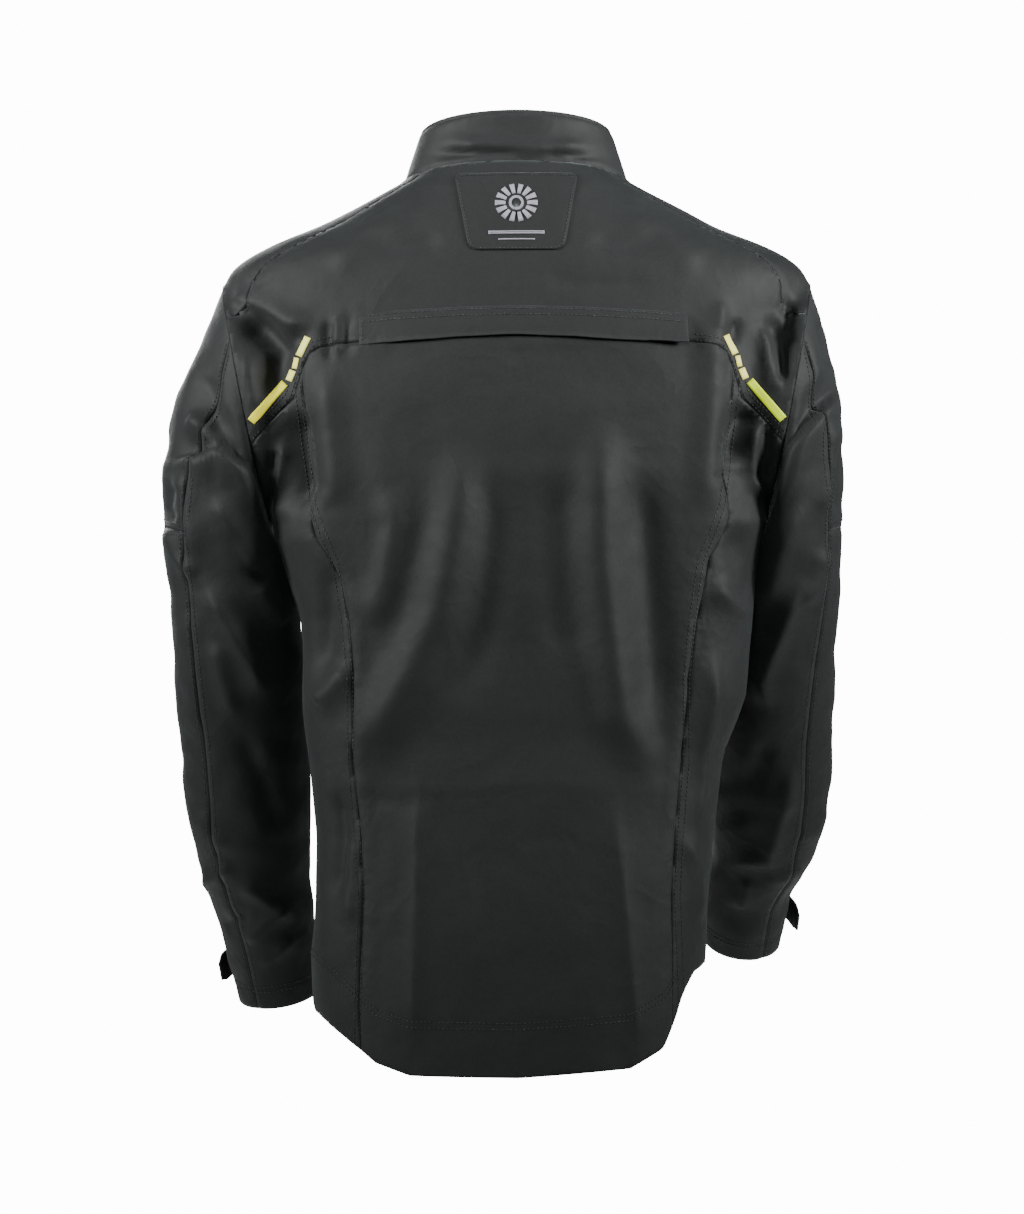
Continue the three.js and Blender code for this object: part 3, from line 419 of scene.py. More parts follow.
def capped(grids):
    """Closed tubes, each a grid of rings, joined in one point and face list."""
    points, faces = [], []
    for grid in grids:
        start = sum(len(p) for p in points)
        rows, columns = grid.shape[:2]
        ring = grid.reshape(-1, 3)
        ends = np.stack([grid[0].mean(0), grid[-1].mean(0)])
        points += [ring, ends]
        faces += grid_faces(rows, columns, True, start)
        first, last = start + rows * columns, start + (rows - 1) * columns
        for c in range(columns):
            d = (c + 1) % columns
            faces.append((first, start + d, start + c))
            faces.append((first + 1, last + c, last + d))
    return np.concatenate(points), faces


def mesh_normals(points, faces):
    normals = np.zeros_like(points)
    quads = np.array([f if len(f) == 4 else (*f, f[0]) for f in faces])
    p = points[quads]
    n = np.cross(p[:, 2] - p[:, 0], p[:, 3] - p[:, 1])
    for k in range(4):
        np.add.at(normals, quads[:, k], n)
    return normals / (np.linalg.norm(normals, axis=1, keepdims=True) + 1e-12)


def relaxed(points, faces, weight, rounds):
    """Points drawn towards the middle of their neighbours, by a weight for each."""
    edges = {(min(a, b), max(a, b)) for f in faces for a, b in zip(f, f[1:] + f[:1])}
    e = np.array(sorted(edges))
    count = np.zeros(len(points))
    np.add.at(count, e[:, 0], 1)
    np.add.at(count, e[:, 1], 1)
    for _ in range(rounds):
        total = np.zeros_like(points)
        np.add.at(total, e[:, 0], points[e[:, 1]])
        np.add.at(total, e[:, 1], points[e[:, 0]])
        points = points + weight[:, None] * (total / count[:, None] - points)
    return points


def torso_surface(voxel):
    """The body and the roots of both arms as one skin."""
    heights = np.concatenate([[-10, -13], np.arange(-16, -130, -4.0), np.arange(-130, -800, -6.0)])
    body = body_grid(heights, np.radians(np.arange(0, 360, 2.0) + 1))
    turns = np.radians(np.arange(0, 360, 6.0))
    stubs = [sleeve_grid(STUB_ROWS, np.arange(0, 4.01, 0.25), turns, side) for side in (1, -1)]
    stubs[1] = stubs[1][:, ::-1]
    raw = mesh_object("raw", *capped([body, *stubs]))
    faced_out(raw)
    remesh = raw.modifiers.new("remesh", "REMESH")
    remesh.mode = "VOXEL"
    remesh.voxel_size = voxel * MM
    settled(raw)
    points = coords(raw.data) / MM
    faces = [tuple(p.vertices) for p in raw.data.polygons]
    drop(raw)
    return points, faces


def apply_folds(points, normals):
    """The folds of the back where the cloth faces back, and those of the front where it faces the front."""
    flat = seen(points)
    back = fold_depth(flat, FOLDS_BACK) * smooth_step(normals[:, 1], 0.02, 0.5)
    front = fold_depth(points[:, [0, 2]], FOLDS_FRONT) * smooth_step(-normals[:, 1], 0.02, 0.5)
    return back + front


# ------------------------------------------------------------------ cutting the body into panels
YOKE = [(-x, z) for x, z in YOKE_HALF[:0:-1]] + [tuple(p) for p in YOKE_HALF]


def signed(points, line):
    """Signed distance to a polyline that runs left to right; positive above it."""
    dist, side, _ = along_line(points, line)
    return dist * side


def flat_xz(p):
    return p[:, [0, 2]]


def field_yoke(p):
    return signed(flat_xz(p), YOKE)


def field_hem(p):
    return signed(flat_xz(p), HEM)


def field_facing(p):
    return signed(flat_xz(p), [(x, z + 44) for x, z in HEM])


def field_princess(p):
    """Positive outside the back panel."""
    return signed(np.stack([np.abs(p[:, 0]), p[:, 2]], 1), PRINCESS)


def field_shoulder(p):
    """Positive behind the shoulder seam."""
    return signed(p[:, :2], [[-x, y] for x, y in SHOULDER_SEAM[::-1]] + SHOULDER_SEAM)


def field_side(p):
    """Positive behind the side seam."""
    return p[:, 1] - SIDE_SEAM_Y


def field_armhole(p):
    """Positive on the body's side of the armhole seam."""
    sin, cos = math.sin(math.radians(ARMHOLE_TILT)), math.cos(math.radians(ARMHOLE_TILT))
    inside = ARMHOLE[0] * sin - ARMHOLE[2] * cos - (np.abs(p[:, 0]) * sin - p[:, 2] * cos)
    return np.maximum(inside, -330 - p[:, 2])


def field_neck(p):
    tilt = np.where(p[:, 1] > 0, BODY_ROWS[0, 2], BODY_ROWS[0, 3])
    return BODY_ROWS[0, 0] + tilt * p[:, 1] - p[:, 2] - 0.3


def field_centre(p):
    return np.where(p[:, 1] < 0, np.abs(p[:, 0]) - ZIP_GAP, 50.0)


class Cloth:
    """A triangle and polygon mesh whose faces carry a panel name and are split along seams."""

    def __init__(self, points, faces):
        self.bm = bmesh.new()
        verts = [self.bm.verts.new(p) for p in points]
        for f in faces:
            self.bm.faces.new([verts[i] for i in f])
        self.bm.faces.ensure_lookup_table()
        self.tag = self.bm.faces.layers.int.new("panel")
        self.lock = self.bm.verts.layers.int.new("lock")

    def cut(self, field, region, positive, negative, snap=1.3):
        bm, tag, lock = self.bm, self.tag, self.lock
        faces = [f for f in bm.faces if f[tag] == region]
        verts = list({v for f in faces for v in f.verts})
        p = np.array([v.co[:] for v in verts])
        value = field(p)
        step = 0.5
        grad = np.stack([(field(p + a) - field(p - a)) / (2 * step) for a in np.eye(3) * step], 1)
        size = (grad ** 2).sum(1) + 1e-9
        near = (np.abs(value) < snap) & (size > 0.2)
        moved = p - grad * (value / size)[:, None]
        values = {}
        zero = set()
        for v, f, n, m in zip(verts, value, near, moved):
            if n and not v[lock]:
                v.co = m
                f = 0.0
                zero.add(v)
            elif n and abs(f) < 0.35:
                f = 0.0
                zero.add(v)
            values[v] = f
        edges = {e for f in faces for e in f.edges}
        for e in edges:
            a, b = e.verts
            fa, fb = values[a], values[b]
            if fa * fb < 0:
                _, new = bmesh.utils.edge_split(e, a, fa / (fa - fb))
                values[new] = 0.0
                zero.add(new)
        chosen = [v for v in zero if v.is_valid]
        others = [f for f in bm.faces if f[tag] != region]
        bmesh.ops.connect_verts(bm, verts=chosen, faces_exclude=others)
        faces = [f for f in bm.faces if f[tag] == region]
        centres = np.array([f.calc_center_median()[:] for f in faces])
        where = field(centres)
        for f, w in zip(faces, where):
            worst = max((values.get(v, 0.0) for v in f.verts), key=abs)
            f[tag] = positive if (worst if abs(worst) > 0.01 else w) > 0 else negative
        for v in chosen:
            v[lock] = 1

    def drop(self, region):
        gone = [f for f in self.bm.faces if f[self.tag] == region]
        bmesh.ops.delete(self.bm, geom=gone, context="FACES")

    def arrays(self):
        """Points, normals that face out, faces, their regions and their middles; the mesh is freed."""
        self.bm.normal_update()
        self.bm.verts.index_update()
        plain = np.array([v.co[:] for v in self.bm.verts])
        outward = np.array([v.normal[:] for v in self.bm.verts])
        faces = [[v.index for v in f.verts] for f in self.bm.faces]
        tags = np.array([f[self.tag] for f in self.bm.faces])
        self.bm.free()
        if outward[np.argmax(plain[:, 1]), 1] < 0:
            outward = -outward
        return plain, outward, faces, tags, np.array([plain[f].mean(0) for f in faces])


# The regions the cloth is cut into.
WHOLE, BACK, YOKE_BACK, SIDE, SHOULDER, FRONT, BACK_FACING, FRONT_FACING, WASTE = 0, 1, 2, 3, 4, 5, 6, 7, 99
FAR = 80.0


def cut_body(points, faces, seams=True):
    """The body cut to its outline, and then along its seams or, for the lining, above the hem facing."""
    cloth = Cloth(points, faces)
    for field in (field_armhole, field_neck, field_hem):
        cloth.cut(field, WHOLE, WHOLE, WASTE)
        cloth.drop(WASTE)
    cloth.cut(field_side, WHOLE, WHOLE, FRONT)
    cloth.cut(field_centre, FRONT, FRONT, WASTE)
    cloth.drop(WASTE)
    if seams:
        cloth.cut(field_yoke, WHOLE, YOKE_BACK, BACK)
        cloth.cut(field_shoulder, YOKE_BACK, YOKE_BACK, SHOULDER)
        cloth.cut(field_princess, BACK, SIDE, BACK)
    else:
        cloth.cut(field_facing, WHOLE, WHOLE, BACK_FACING)
        cloth.cut(field_facing, FRONT, FRONT, FRONT_FACING)
    return cloth.arrays()


def seam_distance(p):
    """Nearest distance to any seam of the body, for points on its surface."""
    behind = p[:, 1] > SIDE_SEAM_Y
    yoke = field_yoke(p)
    princess = np.where(behind & (yoke < 2) & (p[:, 1] > 20), np.abs(field_princess(p)), FAR)
    shoulder = np.where(behind & (yoke > 0), np.abs(field_shoulder(p)), FAR)
    seams = [np.where(behind, np.abs(yoke), FAR), princess, shoulder,
             np.abs(field_side(p)), np.abs(field_armhole(p)), np.full(len(p), FAR)]
    return np.min(seams, axis=0)


def noise(p, size, seed=0):
    """Smooth value noise in three dimensions, from -1 to 1."""
    q = p / size
    base = np.floor(q).astype(np.int64)
    t = smooth_step(q - base, 0, 1)
    total = np.zeros(len(p))
    for dx in (0, 1):
        for dy in (0, 1):
            for dz in (0, 1):
                n = ((base[:, 0] + dx) * 73856093 ^ (base[:, 1] + dy) * 19349663
                     ^ (base[:, 2] + dz) * 83492791 ^ seed * 2654435761)
                n = (n ^ (n >> 13)) * 1274126177 & 0x7FFFFFFF
                weight = (np.where(dx, t[:, 0], 1 - t[:, 0]) * np.where(dy, t[:, 1], 1 - t[:, 1])
                          * np.where(dz, t[:, 2], 1 - t[:, 2]))
                total += weight * ((n % 100003) / 50001.5 - 1)
    return total


def cloth_detail(p, dist):
    """Small life in the cloth: gentle unevenness and puckers along the seams."""
    soft = 1.6 * noise(p, 120, 4) + 1.1 * noise(p, 58, 1) + 0.35 * noise(p, 27, 2)
    pucker = noise(p, 12, 3) * np.exp(-(dist / 12) ** 2) * 0.22
    groove = -0.9 * np.exp(-(dist / 4.5) ** 2)
    return soft * smooth_step(dist, 0, 18) + pucker * smooth_step(dist, 0.5, 5) + groove


# The slanted zips: the two ends of each (x, z), and the side it is on.
POCKET_LINE, CHEST_LINE = [(92, -498), (122, -650)], [(78, -214), (84, -334)]
ZIPS = {"pocket_left": (POCKET_LINE, 1), "pocket_right": (POCKET_LINE, -1), "chest": (CHEST_LINE, 1)}


def zip_distance(p):
    """How far a point on the front is from a pocket zip or from the main zip."""
    d = np.abs(p[:, 0])
    for line, side in ZIPS.values():
        q = np.stack([p[:, 0] * side, p[:, 2]], 1)
        d = np.minimum(d, along_line(q, line)[0])
    return np.where(p[:, 1] < -20, d, 90.0)


VOXEL = 4.0
body_points, body_faces = torso_surface(VOXEL)
edge_x = np.abs(body_points[:, 0])
near_crease = smooth_step(edge_x, 150, 185) * (1 - smooth_step(edge_x, 232, 240)) * (
    smooth_step(body_points[:, 2], -360, -310) * (1 - smooth_step(body_points[:, 2], -70, -60)))
keep_ends = (1 - smooth_step(-body_points[:, 2], 785, 795)) * smooth_step(-body_points[:, 2], -60, -30)
body_points = relaxed(body_points, body_faces, 0.5 * keep_ends, 3)
body_points = relaxed(body_points, body_faces, 0.6 * near_crease, 10)
body_normals = mesh_normals(body_points, body_faces)
if body_normals[np.argmax(body_points[:, 1]), 1] < 0:
    body_faces = [f[::-1] for f in body_faces]
    body_normals = -body_normals



def picked(points, faces, keep):
    """The chosen faces with their own vertices, and where those came from."""
    used = sorted({i for f, k in zip(faces, keep) if k for i in f})
    place = {old: new for new, old in enumerate(used)}
    return points[used], [[place[i] for i in f] for f, k in zip(faces, keep) if k], np.array(used)


def pulled_in(points, faces, gap):
    """The sheet with its edges drawn back a little, so that neighbours don't touch."""
    count = {}
    around = {}
    for f in faces:
        for a, b in zip(f, f[1:] + f[:1]):
            key = (min(a, b), max(a, b))
            count[key] = count.get(key, 0) + 1
            around.setdefault(a, set()).add(b)
            around.setdefault(b, set()).add(a)
    rim = {i for key, n in count.items() if n == 1 for i in key}
    out = points.copy()
    for i in rim:
        inner = [j for j in around[i] if j not in rim]
        inner = inner or [j for k in around[i] for j in around[k] if j not in rim]
        if not inner:
            continue
        d = points[inner].mean(0) - points[i]
        size = np.linalg.norm(d)
        if size > 1e-6:
            out[i] = points[i] + d / size * min(gap, 0.4 * size)
    return out


def set_attribute(obj, name, values):
    layer = obj.data.attributes.new(name, "FLOAT", "POINT")
    layer.data.foreach_set("value", np.asarray(values, np.float32))


def thicken(obj, thickness, bevel=0.0):
    solid = obj.modifiers.new("thick", "SOLIDIFY")
    solid.thickness = thickness * MM
    solid.offset = -1
    solid.use_even_offset = False
    if bevel:
        soft = obj.modifiers.new("edge", "BEVEL")
        soft.width = bevel * MM
        soft.segments = 2
        soft.limit_method = "ANGLE"
        soft.angle_limit = math.radians(50)
    settled(obj)


def dress(obj, material):
    obj.data.materials.clear()
    obj.data.materials.append(material)


def place_piece(obj, material, body, nodes):
    """A finished piece's material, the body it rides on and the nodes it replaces."""
    dress(obj, material)
    if body:
        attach(obj, body)
    if nodes:
        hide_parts(*nodes)
    return obj


MADE = {}


def sheet_piece(name, points, faces, out, seam, thickness, material, body, bevel=0.0):
    """A cloth piece in place of its CAD node, from one layer of faces; the layer is its outer side."""
    obj = mesh_object(name, points, faces)
    some = list(obj.data.polygons)[::7]
    side = np.array([f.normal[:] for f in some])
    wanted = np.array([out[list(f.vertices)].mean(0) for f in some])
    if (side * wanted).sum() < 0:
        obj.data.flip_normals()
    if seam is not None:
        set_attribute(obj, "seam", seam)
    thicken(obj, thickness, bevel)
    MADE[name] = obj
    return place_piece(obj, material, body, [name])


# ------------------------------------------------------------------ materials
def shader(name):
    mat = bpy.data.materials.new(name)
    mat.use_nodes = True
    tree = mat.node_tree
    return mat, tree, tree.nodes["Principled BSDF"]


def node(tree, kind, **inputs):
    n = tree.nodes.new(kind)
    for key, value in inputs.items():
        if key in n.inputs:
            n.inputs[key].default_value = value
        else:
            setattr(n, key, value)
    return n


def math_node(tree, operation, a, b=None, clamp=False):
    n = tree.nodes.new("ShaderNodeMath")
    n.operation = operation
    n.use_clamp = clamp
    for k, v in enumerate((a, b)):
        if v is None:
            continue
        if isinstance(v, (int, float)):
            n.inputs[k].default_value = v
        else:
            tree.links.new(v, n.inputs[k])
    return n.outputs[0]


WEAVE, SHEEN_TINT = 0.00075, (0.75, 0.85, 0.85, 1)


def fabric(name, low, high, roughness, sheen, bump=0.25, patches=0.35, seam=False):
    """Woven cloth: threads across two directions, uneven dye, a soft sheen, and wear along the seams."""
    mat, tree, base = shader(name)
    links = tree.links
    where = tree.nodes.new("ShaderNodeTexCoord").outputs["Object"]

    def times(a, b):
        return math_node(tree, "MULTIPLY", a, b)

    def plus(a, b):
        return math_node(tree, "ADD", a, b)

    def minus(a, b, clamp=False):
        return math_node(tree, "SUBTRACT", a, b, clamp)

    def cloud(scale, detail, rough, **more):
        texture = node(tree, "ShaderNodeTexNoise", Scale=scale, Detail=detail, Roughness=rough, **more)
        links.new(where, texture.inputs["Vector"])
        return texture.outputs["Fac"]

    wide = cloud(9.0, 4.0, 0.55)
    fine = cloud(420.0, 3.0, 0.6)
    mottle = cloud(55.0, 3.0, 0.5)
    turned = node(tree, "ShaderNodeMapping")
    turned.inputs["Rotation"].default_value = (0.0, math.radians(45), 0.0)
    links.new(where, turned.inputs["Vector"])
    waves = []
    for axis in ("X", "Z"):
        wave = node(tree, "ShaderNodeTexWave", Scale=0.31416 / WEAVE, Distortion=0.6, Detail=1.0)
        wave.bands_direction = axis
        links.new(turned.outputs[0], wave.inputs["Vector"])
        waves.append(wave.outputs["Fac"])
    blend = plus(plus(times(wide, patches), times(fine, 0.45)), times(mottle, 0.2))
    if seam:
        from_seam = node(tree, "ShaderNodeAttribute", attribute_name="seam").outputs["Fac"]
        edge = minus(1.0, times(from_seam, 1 / 6.0), clamp=True)
        blend = plus(blend, times(edge, times(mottle, 0.5)))
    ramp = node(tree, "ShaderNodeValToRGB")
    for stop, colour, position in zip(ramp.color_ramp.elements, (low, high), (0.2, 0.85)):
        stop.color = (*colour, 1)
        stop.position = position
    links.new(blend, ramp.inputs["Fac"])
    links.new(ramp.outputs["Color"], base.inputs["Base Color"])
    links.new(plus(times(mottle, 0.12), roughness - 0.06), base.inputs["Roughness"])
    base.inputs["Sheen Weight"].default_value = sheen
    base.inputs["Sheen Roughness"].default_value = 0.42
    base.inputs["Sheen Tint"].default_value = SHEEN_TINT
    base.inputs["Specular IOR Level"].default_value = 0.42
    up = node(tree, "ShaderNodeBump", Strength=bump, Distance=0.0004)
    links.new(plus(times(times(*waves), 0.7), fine), up.inputs["Height"])
    soft = node(tree, "ShaderNodeBump", Strength=0.5, Distance=0.0035)
    crease = cloud(11.0, 3.0, 0.5, Distortion=0.5)
    ridge = math_node(tree, "ABSOLUTE", minus(crease, 0.5))
    relief = minus(times(cloud(38.0, 2.0, 0.5), 0.45), times(ridge, 2.0))
    if seam:
        close = minus(1.0, times(from_seam, 1 / 14.0), clamp=True)
        relief = plus(relief, times(cloud(120.0, 1.0, 0.5), times(close, 0.5)))
    links.new(relief, soft.inputs["Height"])
    links.new(soft.outputs[0], up.inputs["Normal"])
    links.new(up.outputs[0], base.inputs["Normal"])
    return mat


def smooth_stuff(name, colour, roughness, metallic=0.0, scale=300.0, bump=0.15, second=None, painted_glow=0.0):
    """Plastic, metal, rubber or film: an even colour with a fine grain; where an emission strength is given, the
    colour also shines out as a painted glow.
    """
    mat, tree, base = shader(name)
    where = tree.nodes.new("ShaderNodeTexCoord").outputs["Object"]
    grain = node(tree, "ShaderNodeTexNoise", Scale=scale, Detail=3.0)
    tree.links.new(where, grain.inputs["Vector"])
    ramp = node(tree, "ShaderNodeValToRGB")
    ramp.color_ramp.elements[0].color = (*colour, 1)
    ramp.color_ramp.elements[1].color = (*(second or [min(1.0, c * 1.35) for c in colour]), 1)
    tree.links.new(grain.outputs["Fac"], ramp.inputs["Fac"])
    tree.links.new(ramp.outputs["Color"], base.inputs["Base Color"])
    base.inputs["Roughness"].default_value = roughness
    base.inputs["Metallic"].default_value = metallic
    # painted glow: the surface colour is sent out as emission, though the piece is no lamp
    if painted_glow:
        tree.links.new(ramp.outputs["Color"], base.inputs["Emission Color"])
        base.inputs["Emission Strength"].default_value = painted_glow
    up = node(tree, "ShaderNodeBump", Strength=bump, Distance=0.0003)
    tree.links.new(grain.outputs["Fac"], up.inputs["Height"])
    tree.links.new(up.outputs[0], base.inputs["Normal"])
    return mat


SHELL = fabric("shell cloth", (0.0066, 0.0077, 0.0076), (0.0190, 0.0218, 0.0216), 0.66, 0.16, seam=True)
LINING = fabric("lining cloth", (0.30, 0.31, 0.315), (0.46, 0.47, 0.475), 0.8, 0.2, patches=0.2)
FACING = fabric("facing cloth", (0.05, 0.053, 0.054), (0.085, 0.09, 0.09), 0.75, 0.3, patches=0.2)
TAPE = fabric("tape weave", (0.010, 0.0105, 0.011), (0.022, 0.023, 0.024), 0.7, 0.2, patches=0.2)
THREAD = fabric("sewing thread", (0.018, 0.020, 0.020), (0.045, 0.049, 0.050), 0.42, 0.1, 0.1, 0.2)
EMBROIDERY = fabric("embroidery thread", (0.34, 0.33, 0.38), (0.62, 0.60, 0.68), 0.42, 0.3, 0.35, 0.3)
TEETH = smooth_stuff("zip teeth", (0.012, 0.012, 0.013), 0.38)
METAL = smooth_stuff("black lacquer", (0.03, 0.03, 0.032), 0.3, 0.85, 500.0, 0.05)
RUBBER = smooth_stuff("moulded rubber", (0.018, 0.0185, 0.019), 0.55, 0.0, 700.0, 0.25)
# The reflective films carry a painted glow: emission stands in for the light the film sends back towards the
# camera.
FILM, FILM_PALE, FILM_LIME = [
    smooth_stuff(name, low, 0.5, 0.0, 1500.0, 0.3, high, painted_glow) for name, low, high, painted_glow in (
        ("reflective film", (0.78, 0.74, 0.02), (0.86, 0.82, 0.05), 0.35),
        ("pale reflective film", (0.90, 0.88, 0.16), (0.94, 0.92, 0.26), 0.45),
        ("bright reflective film", (0.60, 0.82, 0.0), (0.72, 0.90, 0.02), 0.4))]
SHELL_THICK, LINING_THICK = 1.8, 1.0
SHELL_GAP, LINING_GAP = 0.12, 0.5


# ------------------------------------------------------------------ body panels
def near_armhole(p):
    return smooth_step(np.abs(field_armhole(p)), 1, 14)


# How far the sides of the body hang out or in, by height.
SIDE_HANG = {
    1: [(-800, 2), (-735, 3), (-700, 9), (-660, 11), (-630, 9), (-600, 7), (-560, 4), (-504, 4), (-454, 2),
        (-400, 0), (-380, 0), (-345, 6), (-315, 12), (-296, 10), (-270, 0)],
    -1: [(-800, -12), (-694, -11), (-652, -7), (-590, -3), (-514, -1), (-490, 0), (-444, 11), (-388, 13),
         (-330, 13), (-300, 15), (-285, 9), (-262, 0)]}
BODY_FOLDS = 1.25


def side_hang(p):
    """Sideways travel of the body's points."""
    out = np.zeros_like(p)
    for side, rows in SIDE_HANG.items():
        by = np.interp(p[:, 2], [r[0] for r in rows], [r[1] for r in rows])
        rear = np.where(p[:, 2] > (-400 if side > 0 else -490), smooth_step(p[:, 1], -12, 16), 1.0)
        out[:, 0] += side * by * rear * smooth_step(side * p[:, 0], 112, 157)
    out[:, 0] *= smooth_step(zip_distance(p), 8, 34)
    return out


def body_lift(p, n):
    """How far the cloth of the body stands off its plain shape."""
    folds = apply_folds(p, n) * near_armhole(p)
    dist = seam_distance(p)
    clear = smooth_step(zip_distance(p), 8, 34)
    return folds * clear * BODY_FOLDS + cloth_detail(p, dist) * clear, dist


plain, outward, faces, tags, centres = cut_body(body_points, body_faces)
lift, seam_dist = body_lift(plain, outward)
shell_points = plain + outward * lift[:, None] + side_hang(plain)
SHELL_TREE = BVHTree.FromPolygons([tuple(p) for p in shell_points], faces)
jobs = [("back_panel", BACK, 0), ("back_yoke", YOKE_BACK, 0)]
for kind, tag in (("side_panel", SIDE), ("shoulder_panel", SHOULDER), ("front_panel", FRONT)):
    jobs += [(f"{kind}_left", tag, 1), (f"{kind}_right", tag, -1)]
for name, tag, side in jobs:
    keep = (tags == tag) & ((centres[:, 0] * side > 0) if side else True)
    pts, own, origin = picked(shell_points, faces, keep)
    sheet_piece(name, pulled_in(pts, own, SHELL_GAP), own, outward[origin], seam_dist[origin],
                SHELL_THICK, SHELL, "torso")

# The lining lies inside the shell and is drawn up a little at the hem.
BODY_LINING_INSET, HEM_RISE, FRONT_LINING_EDGE = 4.2, 3.0, 14
LINING_JOBS = [("lining_back", WHOLE, 0), ("hem_facing_back", BACK_FACING, 0),
               ("lining_front_left", FRONT, 1), ("lining_front_right", FRONT, -1),
               ("hem_facing_front_left", FRONT_FACING, 1), ("hem_facing_front_right", FRONT_FACING, -1)]
plain, outward, faces, tags, centres = cut_body(body_points, body_faces, seams=False)
lift, _ = body_lift(plain, outward)
inner_points = plain + outward * (lift - BODY_LINING_INSET)[:, None] + side_hang(plain)
inner_points[:, 2] += HEM_RISE * (1 - smooth_step(field_hem(plain), 0, 12))
for name, tag, side in LINING_JOBS:
    slot, material = ("facing_fabric", FACING) if "facing" in name else ("lining_fabric", LINING)
    keep = (tags == tag) & ((centres[:, 0] * side > FRONT_LINING_EDGE) if side else True)
    pts, own, origin = picked(inner_points, faces, keep)
    sheet_piece(name, pulled_in(pts, own, LINING_GAP), own, outward[origin], None,
                LINING_THICK, material, "torso")


def merge(parts):
    points, faces, start = [], [], 0
    for p, f in parts:
        points.append(np.asarray(p))
        faces += [tuple(i + start for i in face) for face in f]
        start += len(p)
    return np.concatenate(points), faces


# ------------------------------------------------------------------ sleeves
def grid_normals(grid):
    down = np.gradient(grid, axis=0)
    across = np.gradient(grid, axis=1)
    n = np.cross(across, down)
    return n / (np.linalg.norm(n, axis=2, keepdims=True) + 1e-12)


def elbow_row(turn):
    """The elbow seam runs level round the outer arm."""
    return ELBOW_ROW - 0.94 * (1 - np.cos(np.radians(turn)))


def lowest_near(grid, reach):
    """The lowest value within a few cells of each cell, so that a lining stays inside its shell's folds."""
    for _ in range(reach):
        wide = np.pad(grid, 1, mode="edge")
        beside = [wide[:-2, 1:-1], wide[2:, 1:-1], wide[1:-1, :-2], wide[1:-1, 2:]]
        grid = np.min([wide[1:-1, 1:-1], *beside], axis=0)
    return grid


def sleeve_surface(side, at, turns, inset=0.0):
    """Points, outward normals and seam distances of a sleeve with its folds, over rows and angles in degrees."""
    rows = SLEEVE_ROWS[side]
    plain = sleeve_grid(rows, at, np.radians(turns), side)
    normal = grid_normals(plain)
    row = (np.broadcast_to(at[:, None], plain.shape[:2]) if at.ndim == 1 else at).ravel()
    frames = sleeve_frames(rows, row)
    centre = frames[0] * np.array([side, 1, 1])
    p, n = plain.reshape(-1, 3), normal.reshape(-1, 3)
    if (n * (p - centre)).sum() < 0:
        n = -n
    turn = np.tile(turns, plain.shape[0])
    reach = (frames[4] + frames[5]) / 2
    underside = np.abs((turn + 360) % 360 - 180)
    outside = 180 - underside

    def bulge(angle, spread, middle, length):
        """A rounded swelling about one side of the arm and one row."""
        return np.exp(-(angle / spread) ** 2 - ((row - middle) / length) ** 2)

    # seams: the two long ones, the elbow seam on the outer half and the armhole at the top
    dist = np.full(len(p), FAR)
    for seam in (SEAM_BACK, SEAM_FRONT):
        gap = np.abs((turn - seam + 180) % 360 - 180)
        dist = np.minimum(dist, np.radians(gap) * reach)
    outer = np.abs((turn - (SEAM_BACK + SEAM_FRONT) / 2 + 180) % 360 - 180) < 68
    elbow_gap = np.where(outer, np.abs(row - elbow_row(turn)) * 45, FAR)
    plane = np.abs(field_armhole(p))
    seams = np.min([dist, elbow_gap, np.where(row < 1.2, plane, FAR)], axis=0)
    # folds behind and in front, and small unevenness
    flat = seen(p)
    flat[:, 0] *= side
    back = fold_depth(flat, FOLDS_SLEEVE[side], 1.8) * smooth_step(n[:, 1], -0.1, 0.4)
    facing = flat_xz(p) * np.array([side, 1]) + np.array([6, -14])
    front = fold_depth(facing, FOLDS_SLEEVE[-side], 1.4) * smooth_step(-n[:, 1], 0.0, 0.5) * 0.7
    wave = 1.5 * noise(p * np.array([1, 1, 1.9]), 34, 5 + side) + 0.5 * noise(p, 17, 8)
    crook = np.exp(-((row - 4.3) / 1.4) ** 2) * smooth_step(-n[:, 1], -0.2, 0.4)
    bend = 1.6 * noise(p * np.array([0.5, 0.6, 2.6]), 40, 12) * crook
    end = smooth_step(LAST_ROW - row, 0.0, 1.0)
    near = np.where(row < 1.5, smooth_step(plane, 1, 14), 1.0)
    lift = (back + front + (wave + bend) * smooth_step(seams, 0, 18)) * near * (0.25 + 0.75 * end)
    # fullness under the arm, below the elbow and at the shoulder, and the hollow of the outer arm
    lift += 5.0 * bulge(underside, 52, 1.8, 1.3) * smooth_step(row, 0.1, 1.0)
    lift += 6.0 * bulge(underside, 50, 7.4, 1.1)
    lift += 7.0 * bulge(outside, 50, 1.3, 1.0) * smooth_step(row, 0.0, 0.7)
    hollow = [0, 2, 1, 0, 0, 1] if side > 0 else [0, 5, 4, 0, 0, 3.5]
    slack = np.interp(row, [3.2, 4.2, 5.2, 6.0, 7.6, 8.6], hollow)
    lift -= slack * np.exp(-(outside / 60) ** 2)
    pucker = noise(p, 11, 3) * np.exp(-(seams / 11) ** 2) * 0.25
    groove = -0.8 * np.exp(-(seams / 3.6) ** 2)
    lift += pucker * smooth_step(seams, 0.5, 5) + groove
    if inset:
        lift = lowest_near(lift.reshape(plain.shape[:2]), 2).ravel() - inset
    return (p + n * lift[:, None]).reshape(plain.shape), n, seams


def sleeve_rows_at(first, last, spacing, side):
    """Row numbers whose rings lie about the given spacing apart."""
    rows = SLEEVE_ROWS[side]
    fine = np.linspace(first, last, 400)
    centre = sleeve_frames(rows, fine)[0]
    edge = sleeve_grid(rows, fine, np.radians([0.0, 90.0, 180.0, 270.0]), 1)
    step = np.max(np.linalg.norm(np.diff(edge, axis=0), axis=2), axis=1)
    run = np.concatenate([[0], np.cumsum(step)])
    count = int(run[-1] / spacing) + 1
    return np.interp(np.linspace(0, run[-1], count), run, fine)


